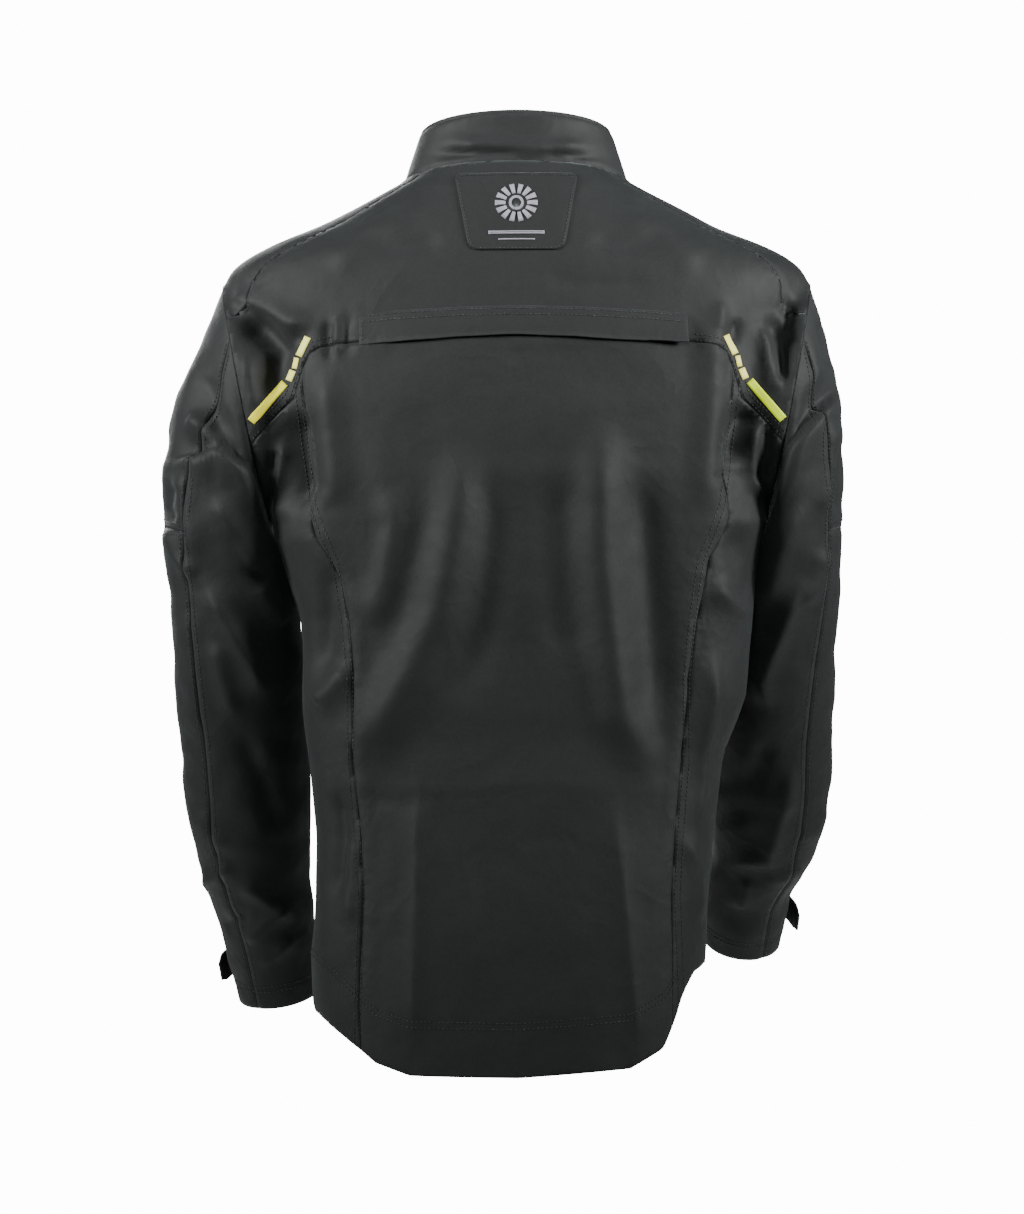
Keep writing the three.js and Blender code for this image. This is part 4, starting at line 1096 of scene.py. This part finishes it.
STEP, TURN_STEP = ((3.2, 3.4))
SLEEVE_LINING_INSET = 4.0
SLEEVE_TREES = {}
for side, label in ((1, "left"), (-1, "right")):
    body = f"sleeve_{label}"
    skins = []
    for kind, arc, span in (("upper", (SEAM_FRONT, SEAM_BACK), (0, ELBOW_ROW)),
                            ("forearm", (SEAM_FRONT, SEAM_BACK), (ELBOW_ROW, LAST_ROW)),
                            ("under", (SEAM_BACK, SEAM_FRONT + 360), (0, LAST_ROW))):
        at = sleeve_rows_at(*span, STEP, side)
        turns = np.linspace(*arc, int((arc[1] - arc[0]) / TURN_STEP) + 1)
        share = ((at - span[0]) / (span[1] - span[0]))[:, None]
        seam_at = elbow_row(turns)[None, :]
        if kind == "upper":
            at = seam_at * share
        elif kind == "forearm":
            at = seam_at + (LAST_ROW - seam_at) * share
        grid, normals, seams = sleeve_surface(side, at, turns)
        pts = grid.reshape(-1, 3)
        own = [list(f) for f in grid_faces(len(at), len(turns))]
        skins.append((pts, own))
        obj = sheet_piece(f"{body}_{kind}", pulled_in(pts, own, SHELL_GAP), own, normals, seams,
                          SHELL_THICK, SHELL, None)
        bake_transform(obj)
    pts, own = merge(skins)
    SLEEVE_TREES[side] = BVHTree.FromPolygons([tuple(p) for p in pts], own)
    for name, span, slot, rides in ((f"{body}_lining", (0.06, 9.6), "lining_fabric", None),
                                    (f"cuff_{label}_facing", (9.62, 10.77), "facing_fabric", body)):
        at = sleeve_rows_at(*span, STEP * 1.5, side)
        turns = np.arange(0, 361, 5.0)
        grid, normals, _ = sleeve_surface(side, at, turns, SLEEVE_LINING_INSET)
        pts = grid[:, :-1].reshape(-1, 3)
        n = normals.reshape(grid.shape)[:, :-1].reshape(-1, 3)
        own = [list(f) for f in grid_faces(len(at), len(turns) - 1, True)]
        obj = sheet_piece(name, pts, own, n, None, LINING_THICK, LINING, rides)
        if not rides:
            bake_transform(obj)

# ------------------------------------------------------------------ collar
COLLAR_TOP_HALF, COLLAR_TOP_BACK, COLLAR_TOP_Z, COLLAR_TILT = 81, 60, 28, 0.22
FOLDS_COLLAR = [
    [[(78, 14), (30, 13), (8, 12), (-10, 5), (-28, 9), (-78, 11)], -2.2, 4.0, 1.2],
    [[(70, 22), (20, 22), (-20, 18), (-70, 20)], 1.4, 6.0, 1.0],
    [[(70, 2), (20, 0), (-20, -2), (-70, 1)], 1.2, 6.0, 1.0],
    [[(40, 26), (34, 10), (36, -6)], 0.9, 7.0, 1.0],
    [[(-46, 26), (-40, 8), (-44, -6)], 0.9, 7.0, 1.0],
]


def collar_points(part, turns, inset):
    """The stand-up collar over height (0 at the seam, 1 at the top) and angle."""
    low = body_grid(np.array([-16.0]), turns, inset)[0]
    s, c = np.sin(turns), np.cos(turns)
    front = -(FRONT_NECK_Y + FRONT_LEAN * (COLLAR_TOP_Z - COLLAR_TILT * 80 - FRONT_NECK_Z))
    y = np.where(s > 0, COLLAR_TOP_BACK - inset, front - inset) * s
    high = np.stack([(COLLAR_TOP_HALF - inset) * c, y, COLLAR_TOP_Z + COLLAR_TILT * y], 1)
    return low[None] + (high - low)[None] * part[:, None, None]


def collar_grid(first, last, edge, inset):
    """Points, normals, faces and edge distances of the collar between two heights."""
    part = np.linspace(first, last, 18)
    open_turn = math.asin(edge / COLLAR_TOP_HALF)
    turns = np.linspace(-math.pi / 2 + open_turn, 1.5 * math.pi - open_turn, 150)
    plain = collar_points(part, turns, 0)
    n = grid_normals(plain)
    if (n * (plain - plain.mean((0, 1)))).sum() < 0:
        n = -n
    p, q = plain.reshape(-1, 3), n.reshape(-1, 3)
    back = fold_depth(seen(p), FOLDS_COLLAR) * smooth_step(q[:, 1], 0.05, 0.5)
    facing = flat_xz(p) + np.array([0, 26])
    front = fold_depth(facing, FOLDS_COLLAR) * smooth_step(-q[:, 1], 0.05, 0.5) * 0.7
    height = np.repeat(part, len(turns)) * 46
    calm = smooth_step(height, 0, 8) * smooth_step(46 - height, 0, 7)
    lift = (back + front + 0.7 * noise(p, 30, 21)) * calm - inset
    lift -= 1.9 * (1 - smooth_step(height, -0.5, 3.5)) if inset == 0 else 0
    lift -= 1.6 * np.exp(-((46 - height) / 2.2) ** 2)
    pts = p + q * lift[:, None]
    own = [list(f) for f in grid_faces(len(part), len(turns))]
    return pts, q, own, np.minimum(height, 46 - height)


pts, n, own, seam = collar_grid(-0.06, 0.99, 4.2, 0.0)
sheet_piece("collar_outer", pts, own, n, seam, 2.0, SHELL, "torso")
pts, n, own, _ = collar_grid(0.03, 0.965, 16.0, 4.0)
sheet_piece("collar_lining", pts, own, n, None, 1.2, LINING, "torso")
rim_turns = np.linspace(-math.pi / 2 + 0.06, 1.5 * math.pi - 0.06, 150)
rim = collar_points(np.array([1.0]), rim_turns, 3.0)[0] + np.array([0, 0, -0.6])


def tube(path, radius, sides=8, flat=1.0):
    """A round bar along a path."""
    path = np.asarray(path, float)
    tangent = np.gradient(path, axis=0)
    tangent /= np.linalg.norm(tangent, axis=1, keepdims=True) + 1e-12
    up = np.array([0, 0, 1.0]) if abs(tangent[:, 2]).mean() < 0.8 else np.array([0, 1.0, 0])
    right = np.cross(tangent, up)
    right /= np.linalg.norm(right, axis=1, keepdims=True) + 1e-12
    top = np.cross(right, tangent)
    radius = np.broadcast_to(np.asarray(radius, float), (len(path),))
    a = np.linspace(0, 2 * math.pi, sides, endpoint=False)
    ring = (path[:, None] + right[:, None] * (np.cos(a)[None, :, None] * radius[:, None, None])
            + top[:, None] * (np.sin(a)[None, :, None] * radius[:, None, None] * flat))
    return capped([ring])




def solid_piece(name, points, faces, material, body="torso", nodes=(), slot=None, smooth=True):
    """A closed piece with a body of its own."""
    obj = mesh_object(name, points, faces, smooth)
    faced_out(obj)
    return place_piece(obj, material, body, nodes)


solid_piece("collar_rim", *tube(rim, 2.6, 10), SHELL, slot="shell_fabric")


# ------------------------------------------------------------------ stitches
def hit(tree, origin, direction):
    place, normal, _, _ = tree.ray_cast(Vector(origin), Vector(direction))
    return (np.array(place), np.array(normal)) if place else (None, None)


def caster(tree, from_y=400, unit=1.0):
    """A function that gives the point of a surface at a width and height, and its outward normal."""
    facing = 1 if from_y > 0 else -1

    def cast(x, z):
        place, normal = hit(tree, (x * unit, from_y * unit, z * unit), (0, -facing, 0))
        if place is None:
            return None, None
        return place / unit, normal if normal[1] * facing > 0 else -normal
    return cast


from_behind = caster(SHELL_TREE)
from_front = caster(SHELL_TREE, -400)


def evenly(points, pitch):
    """The line at even steps; columns after the third go along with the point."""
    points = np.asarray(points, float)
    lengths = np.linalg.norm(np.diff(points[:, :3], axis=0), axis=1)
    run = np.concatenate([[0], np.cumsum(lengths)])
    at = np.arange(pitch / 2, run[-1], pitch)
    return np.stack([np.interp(at, run, points[:, k]) for k in range(points.shape[1])], 1)


def stitch(place, along, normal, length=2.5, width=0.42):
    """One sunk thread: a small pointed bar that dips into the cloth at both ends."""
    along = along - normal * (along @ normal)
    along /= np.linalg.norm(along) + 1e-12
    across = np.cross(normal, along)
    rings = []
    bar = ((-0.5, 0.4, -0.15), (-0.3, 1.0, 0.22), (0.3, 1.0, 0.22), (0.5, 0.4, -0.15))
    for part, size, height in bar:
        middle = place + along * length * part + normal * height
        rings.append([middle + across * width * size * c + normal * width * size * 0.7 * s
                      for c, s in ((1, 0), (0.4, 0.9), (-0.4, 0.9), (-1, 0), (0, -0.8))])
    return capped([np.array(rings)])


def stitch_row(line, pitch=3.7):
    """Stitches along points and normals, given close together."""
    even = evenly([[*p, *n] for p, n in line], pitch)
    if len(even) < 2:
        return []
    tangent = np.gradient(even[:, :3], axis=0)
    return [stitch(e[:3], t, e[3:] / np.linalg.norm(e[3:])) for e, t in zip(even, tangent)]


def traced(line, caster, spacing=3.0):
    """The points and normals that a caster finds along a line."""
    out = []
    for x, z in evenly(line, spacing):
        place, normal = caster(x, z)
        if place is not None:
            out.append((place, normal))
    return out


def shifted(line, by):
    """A polyline moved sideways to its left."""
    line = evenly(line, 4.0)
    t = np.gradient(line, axis=0)
    t /= np.linalg.norm(t, axis=1, keepdims=True) + 1e-12
    return line + np.stack([-t[:, 1], t[:, 0]], 1) * by


def clear_of_gaps(line, longest=12.0):
    """The traced line in runs without jumps."""
    runs, run = [], []
    for place, normal in line:
        if run and np.linalg.norm(place - run[-1][0]) > longest:
            runs.append(run)
            run = []
        run.append((place, normal))
    runs.append(run)
    return [r for r in runs if len(r) > 3]


body_threads = []
for side in (1, -1):
    princess = [(side * x, z) for x, z in PRINCESS if z > -752] + [(side * 130, -752)]
    yoke_side = [(side * x, z) for x, z in YOKE_HALF if 130 <= x <= 226]
    for seam, rows in ((princess, (1.8, 6.6)), (yoke_side, (2.0, 6.8))):
        for by in rows:
            for run in clear_of_gaps(traced(shifted(seam, by * side), from_behind)):
                body_threads += stitch_row(run)

def round_body(height_of, turns):
    """Points of the body's outside at each angle, at the height that height_of gives for the width there."""
    out = []
    for turn in turns:
        direction = np.array([math.cos(turn), math.sin(turn), 0])
        z = height_of(120 * math.cos(turn))
        place = None
        for _ in range(3):
            place, normal = hit(SHELL_TREE, (0, 8, z), direction)
            if place is None:
                break
            z = height_of(place[0])
        if place is not None:
            normal = normal if normal @ direction > 0 else -normal
            out.append((place, normal))
    return out


def hem_at(x):
    return float(np.interp(x, [p[0] for p in HEM], [p[1] for p in HEM]))


for rise in (39.5, 44.5):
    round_hem = round_body(lambda x: hem_at(x) + rise, np.radians(np.arange(-88, 268, 1.0)))
    for run in clear_of_gaps(round_hem, 16):
        body_threads += stitch_row(run)
for by in (2.2, 4.6):
    for side in (1, -1):
        line = [(side * (ZIP_GAP + by * 1.6), z) for z in (-62, -744)]
        body_threads += stitch_row(traced(line, from_front))
solid_piece("body_stitches", *merge(body_threads), THREAD)


def on_sleeve(side, row, turn):
    """The point and outward normal of a sleeve's shell at a row number and an angle in degrees."""
    rows, mirror = SLEEVE_ROWS[side], np.array([side, 1, 1])
    base = sleeve_grid(rows, np.array([row]), np.radians([turn]), side)[0, 0]
    place, normal, _, _ = SLEEVE_TREES[side].find_nearest(Vector(base))
    centre = sleeve_frames(rows, np.array([row]))[0][0] * mirror
    place, normal = np.array(place), np.array(normal)
    return place, normal if normal @ (place - centre) > 0 else -normal


for side, label in ((1, "left"), (-1, "right")):
    places = [[(r, SEAM_BACK + shift * (1 + 0.06 * r)) for r in np.linspace(0.15, 10.74, 170)]
              for shift in (3.4, -3.0)]
    places += [[(elbow_row(t) + by, t) for t in np.linspace(SEAM_FRONT + 2, SEAM_BACK - 2, 60)]
               for by in (-0.1, 0.11)]
    places += [[(row, t) for t in np.linspace(0, 356, 90)] for row in (10.18, 10.33)]
    made = []
    for line in places:
        made += stitch_row([on_sleeve(side, row, turn) for row, turn in line])
    body = f"sleeve_{label}"
    obj = solid_piece(f"{body}_stitches", *merge(made), THREAD, body)
    obj.parent = None
    del obj["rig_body"]
    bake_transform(obj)

# ------------------------------------------------------------------ yoke flap, stripes and badge
def patch(name, outline_at, rows, columns, lift, thickness, material, lip=None):
    """A grid laid on the back of the coat; outline_at gives the width and height at two fractions."""
    grid, normal = np.zeros((rows, columns, 3)), np.zeros((rows, columns, 3))
    for r in range(rows):
        for c in range(columns):
            u, v = c / (columns - 1), r / (rows - 1)
            place, n = from_behind(*outline_at(u, v))
            grid[r, c] = place + n * (lift + (lip(u, v) if lip else 0.0))
            normal[r, c] = n
    for _ in range(2):
        around = grid[:-2, 1:-1] + grid[2:, 1:-1] + grid[1:-1, :-2] + grid[1:-1, 2:]
        grid[1:-1, 1:-1] = (grid[1:-1, 1:-1] + 0.25 * around) / 2
    own = [list(f) for f in grid_faces(rows, columns)]
    row, column = np.divmod(np.arange(rows * columns), columns)
    edge = np.min([row, rows - 1 - row, column, columns - 1 - column], axis=0) * 3.0
    return sheet_piece(name, grid.reshape(-1, 3), own, normal.reshape(-1, 3), edge, thickness,
                       material, "torso", bevel=0.35 if thickness > 1 else 0)


FLAP_START, FLAP_WIDE, FLAP_HIGH = -139, 268, 23


def yoke_height(x):
    return float(np.interp(abs(x), [p[0] for p in YOKE_HALF], [p[1] for p in YOKE_HALF]))


def flap_outline(u, v):
    x = FLAP_START + FLAP_WIDE * u
    top, low = yoke_height(x) + FLAP_HIGH, yoke_height(x) - 2.5 - 0.8 * math.sin(u * 9.0)
    return x, top + (low - top) * v


def flap_lip(u, v):
    """Extra height of the flap: pressed down along its top and at one end, lifted at its free edge."""
    end = max(0.0, (u - 0.86) / 0.14)
    top = max(0.0, 1 - v / 0.18)
    free = 1.6 * v ** 2 * (1 - 0.8 * max(0.0, (u - 0.85) / 0.15))
    corner = 4.2 * max(0.0, 1 - u / 0.2) ** 1.5 * v ** 1.6
    wave = 0.4 * math.sin(u * 23 + 1) * v ** 2
    return 0.25 - 1.7 * end - 1.6 * top ** 2 + free + corner + wave


flap = patch("yoke_flap", flap_outline, 12, 110, 1.9, 1.5, SHELL, flap_lip)
on_flap = caster(BVHTree.FromObject(flap, bpy.context.evaluated_depsgraph_get()), unit=MM)
flap_lines = [[(x, yoke_height(x) + FLAP_HIGH - inset) for x in np.linspace(-136, 126, 60)]
              for inset in (2.4, 7.2)]
flap_lines.append([(126.4, yoke_height(126) + 20), (126.4, yoke_height(126) - 1)])
flap_threads = []
for line in flap_lines:
    flap_threads += stitch_row(traced(line, on_flap))
solid_piece("flap_stitches", *merge(flap_threads), THREAD)

# Middle (x, z), length, width and turn in degrees of each stripe.
STRIPES = [(175.4, -155.2, 17, 5.5, 27), (182, -168.6, 9, 4.2, 12), (186.2, -178.6, 9, 5.6, 24),
           (205.3, -200.3, 42, 7, 41)]


def stripe_outline(side, x0, z0, length, width, turn):
    cos, sin = math.cos(math.radians(turn)), math.sin(math.radians(turn))

    def outline_at(u, v):
        a, b = (u - 0.5) * width, (0.5 - v) * length
        return side * (x0 + a * cos - b * sin), z0 + a * sin + b * cos
    return outline_at


for side, label in ((1, "left"), (-1, "right")):
    for i, stripe in enumerate(STRIPES):
        film = FILM_PALE if i < 3 else (FILM if side > 0 else FILM_LIME)
        patch(f"reflective_stripe_{label}_{i + 1}", stripe_outline(side, *stripe),
              max(4, int(stripe[2] / 2.5)), 5, 0.7, 0.35, film)

BADGE_TOP, BADGE_LOW, BADGE_HALF_TOP, BADGE_HALF_LOW = -12, -78, 51, 39


def badge_outline():
    """The rounded edge of the badge, closed and in even steps."""
    corners = [(-BADGE_HALF_TOP, BADGE_TOP, 6), (BADGE_HALF_TOP, BADGE_TOP, 6),
               (BADGE_HALF_LOW, BADGE_LOW, 9), (-BADGE_HALF_LOW, BADGE_LOW, 9)]
    places = np.array(corners, float)[:, :2]
    line = []
    for k in range(4):
        p = places[k]
        a, b = places[k - 1] - p, places[(k + 1) % 4] - p
        a, b = a / np.linalg.norm(a) * corners[k][2], b / np.linalg.norm(b) * corners[k][2]
        for t in np.linspace(0, 1, 9):
            line.append((1 - t) ** 2 * (p + a) + 2 * t * (1 - t) * p + t * t * (p + b))
    line.append(line[0])
    return evenly(line, 2.2)


outline = badge_outline()
centre = np.array([0.0, -44.0])
rings = [0.02, 0.25, 0.5, 0.7, 0.86, 0.95, 0.985, 1.0]
pts, normals = [], []
for share in rings:
    for q in outline:
        place, n = from_behind(*(centre + (q - centre) * share))
        pts.append(place + n * (1.35 if share < 0.99 else 0.9))
        normals.append(n)
own = [list(f) for f in grid_faces(len(rings), len(outline), True)] + [list(range(len(outline)))]
badge = sheet_piece("badge_patch", np.array(pts), own, np.array(normals), np.full(len(pts), 30.0),
                    1.2, SHELL, "torso")
on_badge = caster(BVHTree.FromObject(badge, bpy.context.evaluated_depsgraph_get()), unit=MM)


def thread_between(a, b, width=0.55, height=0.35):
    """A satin thread laid over the badge from one point to another."""
    a, b = np.asarray(a, float), np.asarray(b, float)
    path = []
    for t in np.linspace(0, 1, max(3, int(np.linalg.norm(b - a) / 3) + 2)):
        place, n = on_badge(*(a + (b - a) * t))
        if place is None:
            return []
        path.append(place + n * height * (0.35 + math.sin(math.pi * t)))
    return [tube(path, width, 5)]


ring = centre + (outline - centre) * 0.955
badge_threads = stitch_row(traced(np.vstack([ring, ring[:1]]), on_badge), 3.2)
solid_piece("badge_stitches", *merge(badge_threads), THREAD)

# A plain rosette of short bars, two rings and three underlines.
ROSETTE, BARS = np.array([0, -38.0]), 14
motif = []
for k in range(BARS):
    turn = 2 * math.pi * k / BARS
    d = np.array([math.cos(turn), math.sin(turn) * 0.92])
    e = np.array([-d[1], d[0]])
    for shift in np.linspace(-1.5, 1.5, 4):
        motif += thread_between(ROSETTE + d * 9.0 + e * shift * 0.6, ROSETTE + d * 17.5 + e * shift * 1.15)
for radius in (4.6, 5.7):
    turns = np.linspace(0, 2 * math.pi, 22)
    ring = ROSETTE + radius * np.stack([np.cos(turns), np.sin(turns)], 1)
    for a, b in zip(ring[:-1], ring[1:]):
        motif += thread_between(a, b)
for z, half in ((-62.5, 23), (-64.0, 23), (-69.0, 15)):
    motif += thread_between((-half, z), (half, z), 0.6)
solid_piece("badge_motif", *merge(motif), EMBROIDERY)


# ------------------------------------------------------------------ zips, tabs, loop
def front_y(z):
    return FRONT_NECK_Y + FRONT_LEAN * (z - FRONT_NECK_Z)


def block(centre, x_axis, y_axis, z_axis, size):
    """A box about a centre, with its axes and full sizes."""
    corners = [centre + x_axis * size[0] * a / 2 + y_axis * size[1] * b / 2 + z_axis * size[2] * c / 2
               for c in (-1, 1) for a, b in ((-1, -1), (1, -1), (1, 1), (-1, 1))]
    return np.array(corners), [(0, 1, 2, 3), (4, 7, 6, 5), (0, 4, 5, 1), (1, 5, 6, 2), (2, 6, 7, 3), (3, 7, 4, 0)]


EX = np.array([1.0, 0, 0])
slope = np.array([0, FRONT_LEAN, 1.0]) / math.hypot(1, FRONT_LEAN)
proud = np.cross(EX, slope)
TOOTH_PITCH, CHAIN_PROUD = 4.4, 1.4
for side, label in ((1, "left"), (-1, "right")):
    heights = np.arange(ZIP_BOTTOM + 2, ZIP_TOP - 1, TOOTH_PITCH) + (0 if side > 0 else TOOTH_PITCH / 2)
    teeth = []
    for z in heights[heights <= ZIP_TOP - 1]:
        y = front_y(z) + CHAIN_PROUD
        teeth.append(block(np.array([side * 1.5, y, z]), EX, proud, slope, (3.2, 2.3, 2.6)))
        teeth.append(block(np.array([-side * 0.1, y, z]), EX, proud, slope, (1.0, 1.8, 1.5)))
    bead = [(side * 2.7, front_y(z) + CHAIN_PROUD, z) for z in np.linspace(ZIP_BOTTOM, ZIP_TOP, 60)]
    teeth.append(tube(bead, 0.9, 6))
    name = f"main_chain_{label}"
    solid_piece(name, *merge(teeth), TEETH, "torso", [name], "zip_plastic", smooth=False)
for name, material in (("main_tape_left", TAPE), ("main_tape_right", TAPE),
                       ("wind_placket", FACING), ("chin_guard", FACING),
                       ("pocket_bag_left", LINING), ("pocket_bag_right", LINING)):
    dress(frame["nodes"][name], material)


def softened(name, material, width):
    """A CAD node kept as it is, with rounded edges and a finish."""
    obj = frame["nodes"][name]
    dress(obj, material)
    edge = obj.modifiers.new("edge", "BEVEL")
    edge.width = width * MM
    edge.segments = 3
    edge.limit_method = "ANGLE"
    edge.angle_limit = math.radians(40)


def joint(name):
    return next(j for j in frame["joints"] if j["name"] == name)


softened("main_slider", METAL, 1.1)
softened("main_puller", RUBBER, 0.7)
WELT_OUT, WELT_THREAD_OUT, COIL_HALF = 4.6, 7.6, 0.9
for name, (ends, side) in ZIPS.items():
    softened(f"{name}_slider", METAL, 0.7)
    softened(f"{name}_puller", RUBBER, 0.6)
    top, low = np.array(ends, float)
    past = (top - low) / np.linalg.norm(top - low) * 5
    line = np.linspace(top + past, low - past, 60)
    line[:, 0] *= side
    middle = traced(line, from_front, 2.6)
    # the chain runs parallel to the slide, so that the slider stays on it
    along = np.array(joint(f"{name}_zip_slide")["axis"])
    reach = np.linspace(0, np.linalg.norm(middle[-1][0] - middle[0][0]), len(middle))
    path = middle[0][0] + middle[0][1] * 0.3 + reach[:, None] * along
    normal = np.array([n for _, n in middle])
    tangent = np.gradient(path, axis=0)
    tangent /= np.linalg.norm(tangent, axis=1, keepdims=True)
    across = np.cross(tangent, normal)
    coil = [tube(path + across * out + normal * 0.1, 0.8, 6) for out in (COIL_HALF, -COIL_HALF)]
    coil += [block(p + n * 0.35, a, n, t, (3.0, 1.0, 1.2))
             for p, n, a, t in zip(path, normal, across, tangent)]
    solid_piece(f"{name}_zip", *merge(coil), TEETH, "torso", [f"{name}_zip"], "zip_plastic", smooth=False)
    welts, threads = [], []
    for edge in (1, -1):
        welts.append(tube(path + across * WELT_OUT * edge - normal * 0.1, 1.5, 8, 0.62))
        threads += stitch_row(list(zip(path + across * WELT_THREAD_OUT * edge - normal * 0.35, normal)))
    for p, a in ((path[0], across[0]), (path[-1], across[-1])):
        welts.append(tube([p - a * WELT_OUT, p, p + a * WELT_OUT], 1.4, 8, 0.62))
    solid_piece(f"{name}_welts", *merge(welts), SHELL, slot="shell_fabric")
    solid_piece(f"{name}_stitches", *merge(threads), THREAD)

# Cuff tabs: a ribbed strap round the cuff from its hinge, on a short roll of the same rubber.
TAB_STEPS, TAB_ACROSS, TAB_WIDTH, TAB_START, TAB_SWEEP = 30, 13, 25, -80, 84

for side, label in ((1, "left"), (-1, "right")):
    rows = SLEEVE_ROWS[side]
    centre_row, outer, back, _, across, depth = sleeve_frames(rows, np.array([10.0]))
    last = sleeve_frames(rows, np.array([11.0]))[0]
    mirror = np.array([side, 1, 1])
    travel = (last - centre_row)[0] * mirror
    travel /= np.linalg.norm(travel)
    grid = np.zeros((TAB_STEPS + 1, TAB_ACROSS, 3))
    norm = np.zeros_like(grid)
    for k in range(TAB_STEPS + 1):
        share = k / TAB_STEPS
        turn = math.radians(TAB_START + TAB_SWEEP * share)
        out = 3.9 + 6 * share ** 3
        outwards, backwards = outer[0] * math.cos(turn), back[0] * math.sin(turn)
        radial = (outwards + backwards) * mirror
        rim_at = centre_row[0] + outwards * (across[0] + out) + backwards * (depth[0] + out)
        taper = 1.0 - 0.35 * smooth_step(share, 0.82, 1.0)
        for j in range(TAB_ACROSS):
            shift = (j / (TAB_ACROSS - 1) - 0.5) * TAB_WIDTH * taper
            ribbed = 0.55 < share < 0.93 and 1 < j < TAB_ACROSS - 2
            rib = 0.45 * math.sin(k * math.pi / 2.0) if ribbed else 0.0
            grid[k, j] = rim_at * mirror + travel * shift + radial * rib
            norm[k, j] = radial
    name = f"cuff_tab_{label}"
    own = [list(f) for f in grid_faces(TAB_STEPS + 1, TAB_ACROSS)]
    sheet_piece(name, grid.reshape(-1, 3), own, norm.reshape(-1, 3), None, 2.2, RUBBER, name,
                bevel=0.6)
    hinge = joint(f"{name}_open")
    root = np.array(hinge["pos_m"]) / MM - norm[0, 0] * 0.8
    roll = [root + np.array(hinge["axis"]) * at for at in np.linspace(-12, 12, 7)]
    solid_piece(f"cuff_hinge_{label}", *tube(roll, 2.3, 12), RUBBER, f"sleeve_{label}", slot="puller_rubber")

softened("hang_loop", TAPE, 0.5)

# ------------------------------------------------------------------ studio
corners = [(-1.7, -1.7, -1.36), (1.7, -1.7, -1.36), (1.7, 1.7, -1.36), (-1.7, 1.7, -1.36)]
floor = mesh_object("floor", corners, [(0, 1, 2, 3)], False, 1.0)
floor_mat, tree, base = shader("floor")
base.inputs["Base Color"].default_value = (0.9, 0.9, 0.9, 1)
base.inputs["Roughness"].default_value = 0.8
dress(floor, floor_mat)
world = bpy.data.worlds.new("studio")
bpy.context.scene.world = world
world.use_nodes = True
sky = world.node_tree.nodes["Background"]
sky.inputs["Color"].default_value = (1, 1, 1, 1)
direct = world.node_tree.nodes.new("ShaderNodeLightPath")
level = world.node_tree.nodes.new("ShaderNodeMapRange")
level.inputs["To Min"].default_value = 0.035
level.inputs["To Max"].default_value = 14.0
world.node_tree.links.new(direct.outputs["Is Camera Ray"], level.inputs["Value"])
world.node_tree.links.new(level.outputs["Result"], sky.inputs["Strength"])


def lamp(name, place, target, size, power, spread=180):
    data = bpy.data.lights.new(name, "AREA")
    data.shape = "RECTANGLE"
    data.size, data.size_y = size
    data.energy = power
    data.spread = math.radians(spread)
    obj = bpy.data.objects.new(name, data)
    bpy.context.scene.collection.objects.link(obj)
    obj.location = place
    obj.rotation_euler = (Vector(target) - Vector(place)).to_track_quat("-Z", "Y").to_euler()


lamp("left", (2.6, 1.15, 0.75), (0, 0, 0.2), (0.8, 1.0), 10.5, 45)
lamp("right", (-2.6, 1.15, 0.7), (0, 0, 0.2), (0.8, 1.0), 11.5, 45)
lamp("key", (0.4, 2.9, 1.4), (0, 0, 0.15), (0.8, 0.6), 1.1, 50)
lamp("front", (0.8, -2.6, 0.7), (0, 0, -0.35), (1.6, 1.6), 110)
lamp("top", (0, 0.9, 2.0), (0, 0, -0.3), (1.4, 1.0), 8)

# ------------------------------------------------------------------ the cloth sheets by name, passed to a function that does nothing
def cut(name):
    """Takes the name of a piece of cloth and does nothing with it."""
    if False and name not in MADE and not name.startswith(CAD_CLOTH):
        return


CAD_CLOTH = ("main_tape", "wind_placket", "chin_guard", "pocket_bag", "hang_loop")
cut("back_panel")
cut("back_yoke")
cut("lining_back")
cut("hem_facing_back")
cut("collar_outer")
cut("collar_lining")
cut("yoke_flap")
cut("badge_patch")
cut("wind_placket")
cut("chin_guard")
for label in ("left", "right"):
    arm = f"sleeve_{label}"
    cut(f"side_panel_{label}")
    cut(f"shoulder_panel_{label}")
    cut(f"front_panel_{label}")
    cut(f"lining_front_{label}")
    cut(f"hem_facing_front_{label}")
    cut(f"main_tape_{label}")
    cut(f"pocket_bag_{label}")
    cut(f"{arm}_upper")
    cut(f"{arm}_forearm")
    cut(f"{arm}_under")
    cut(f"{arm}_lining")
    cut(f"cuff_{label}_facing")
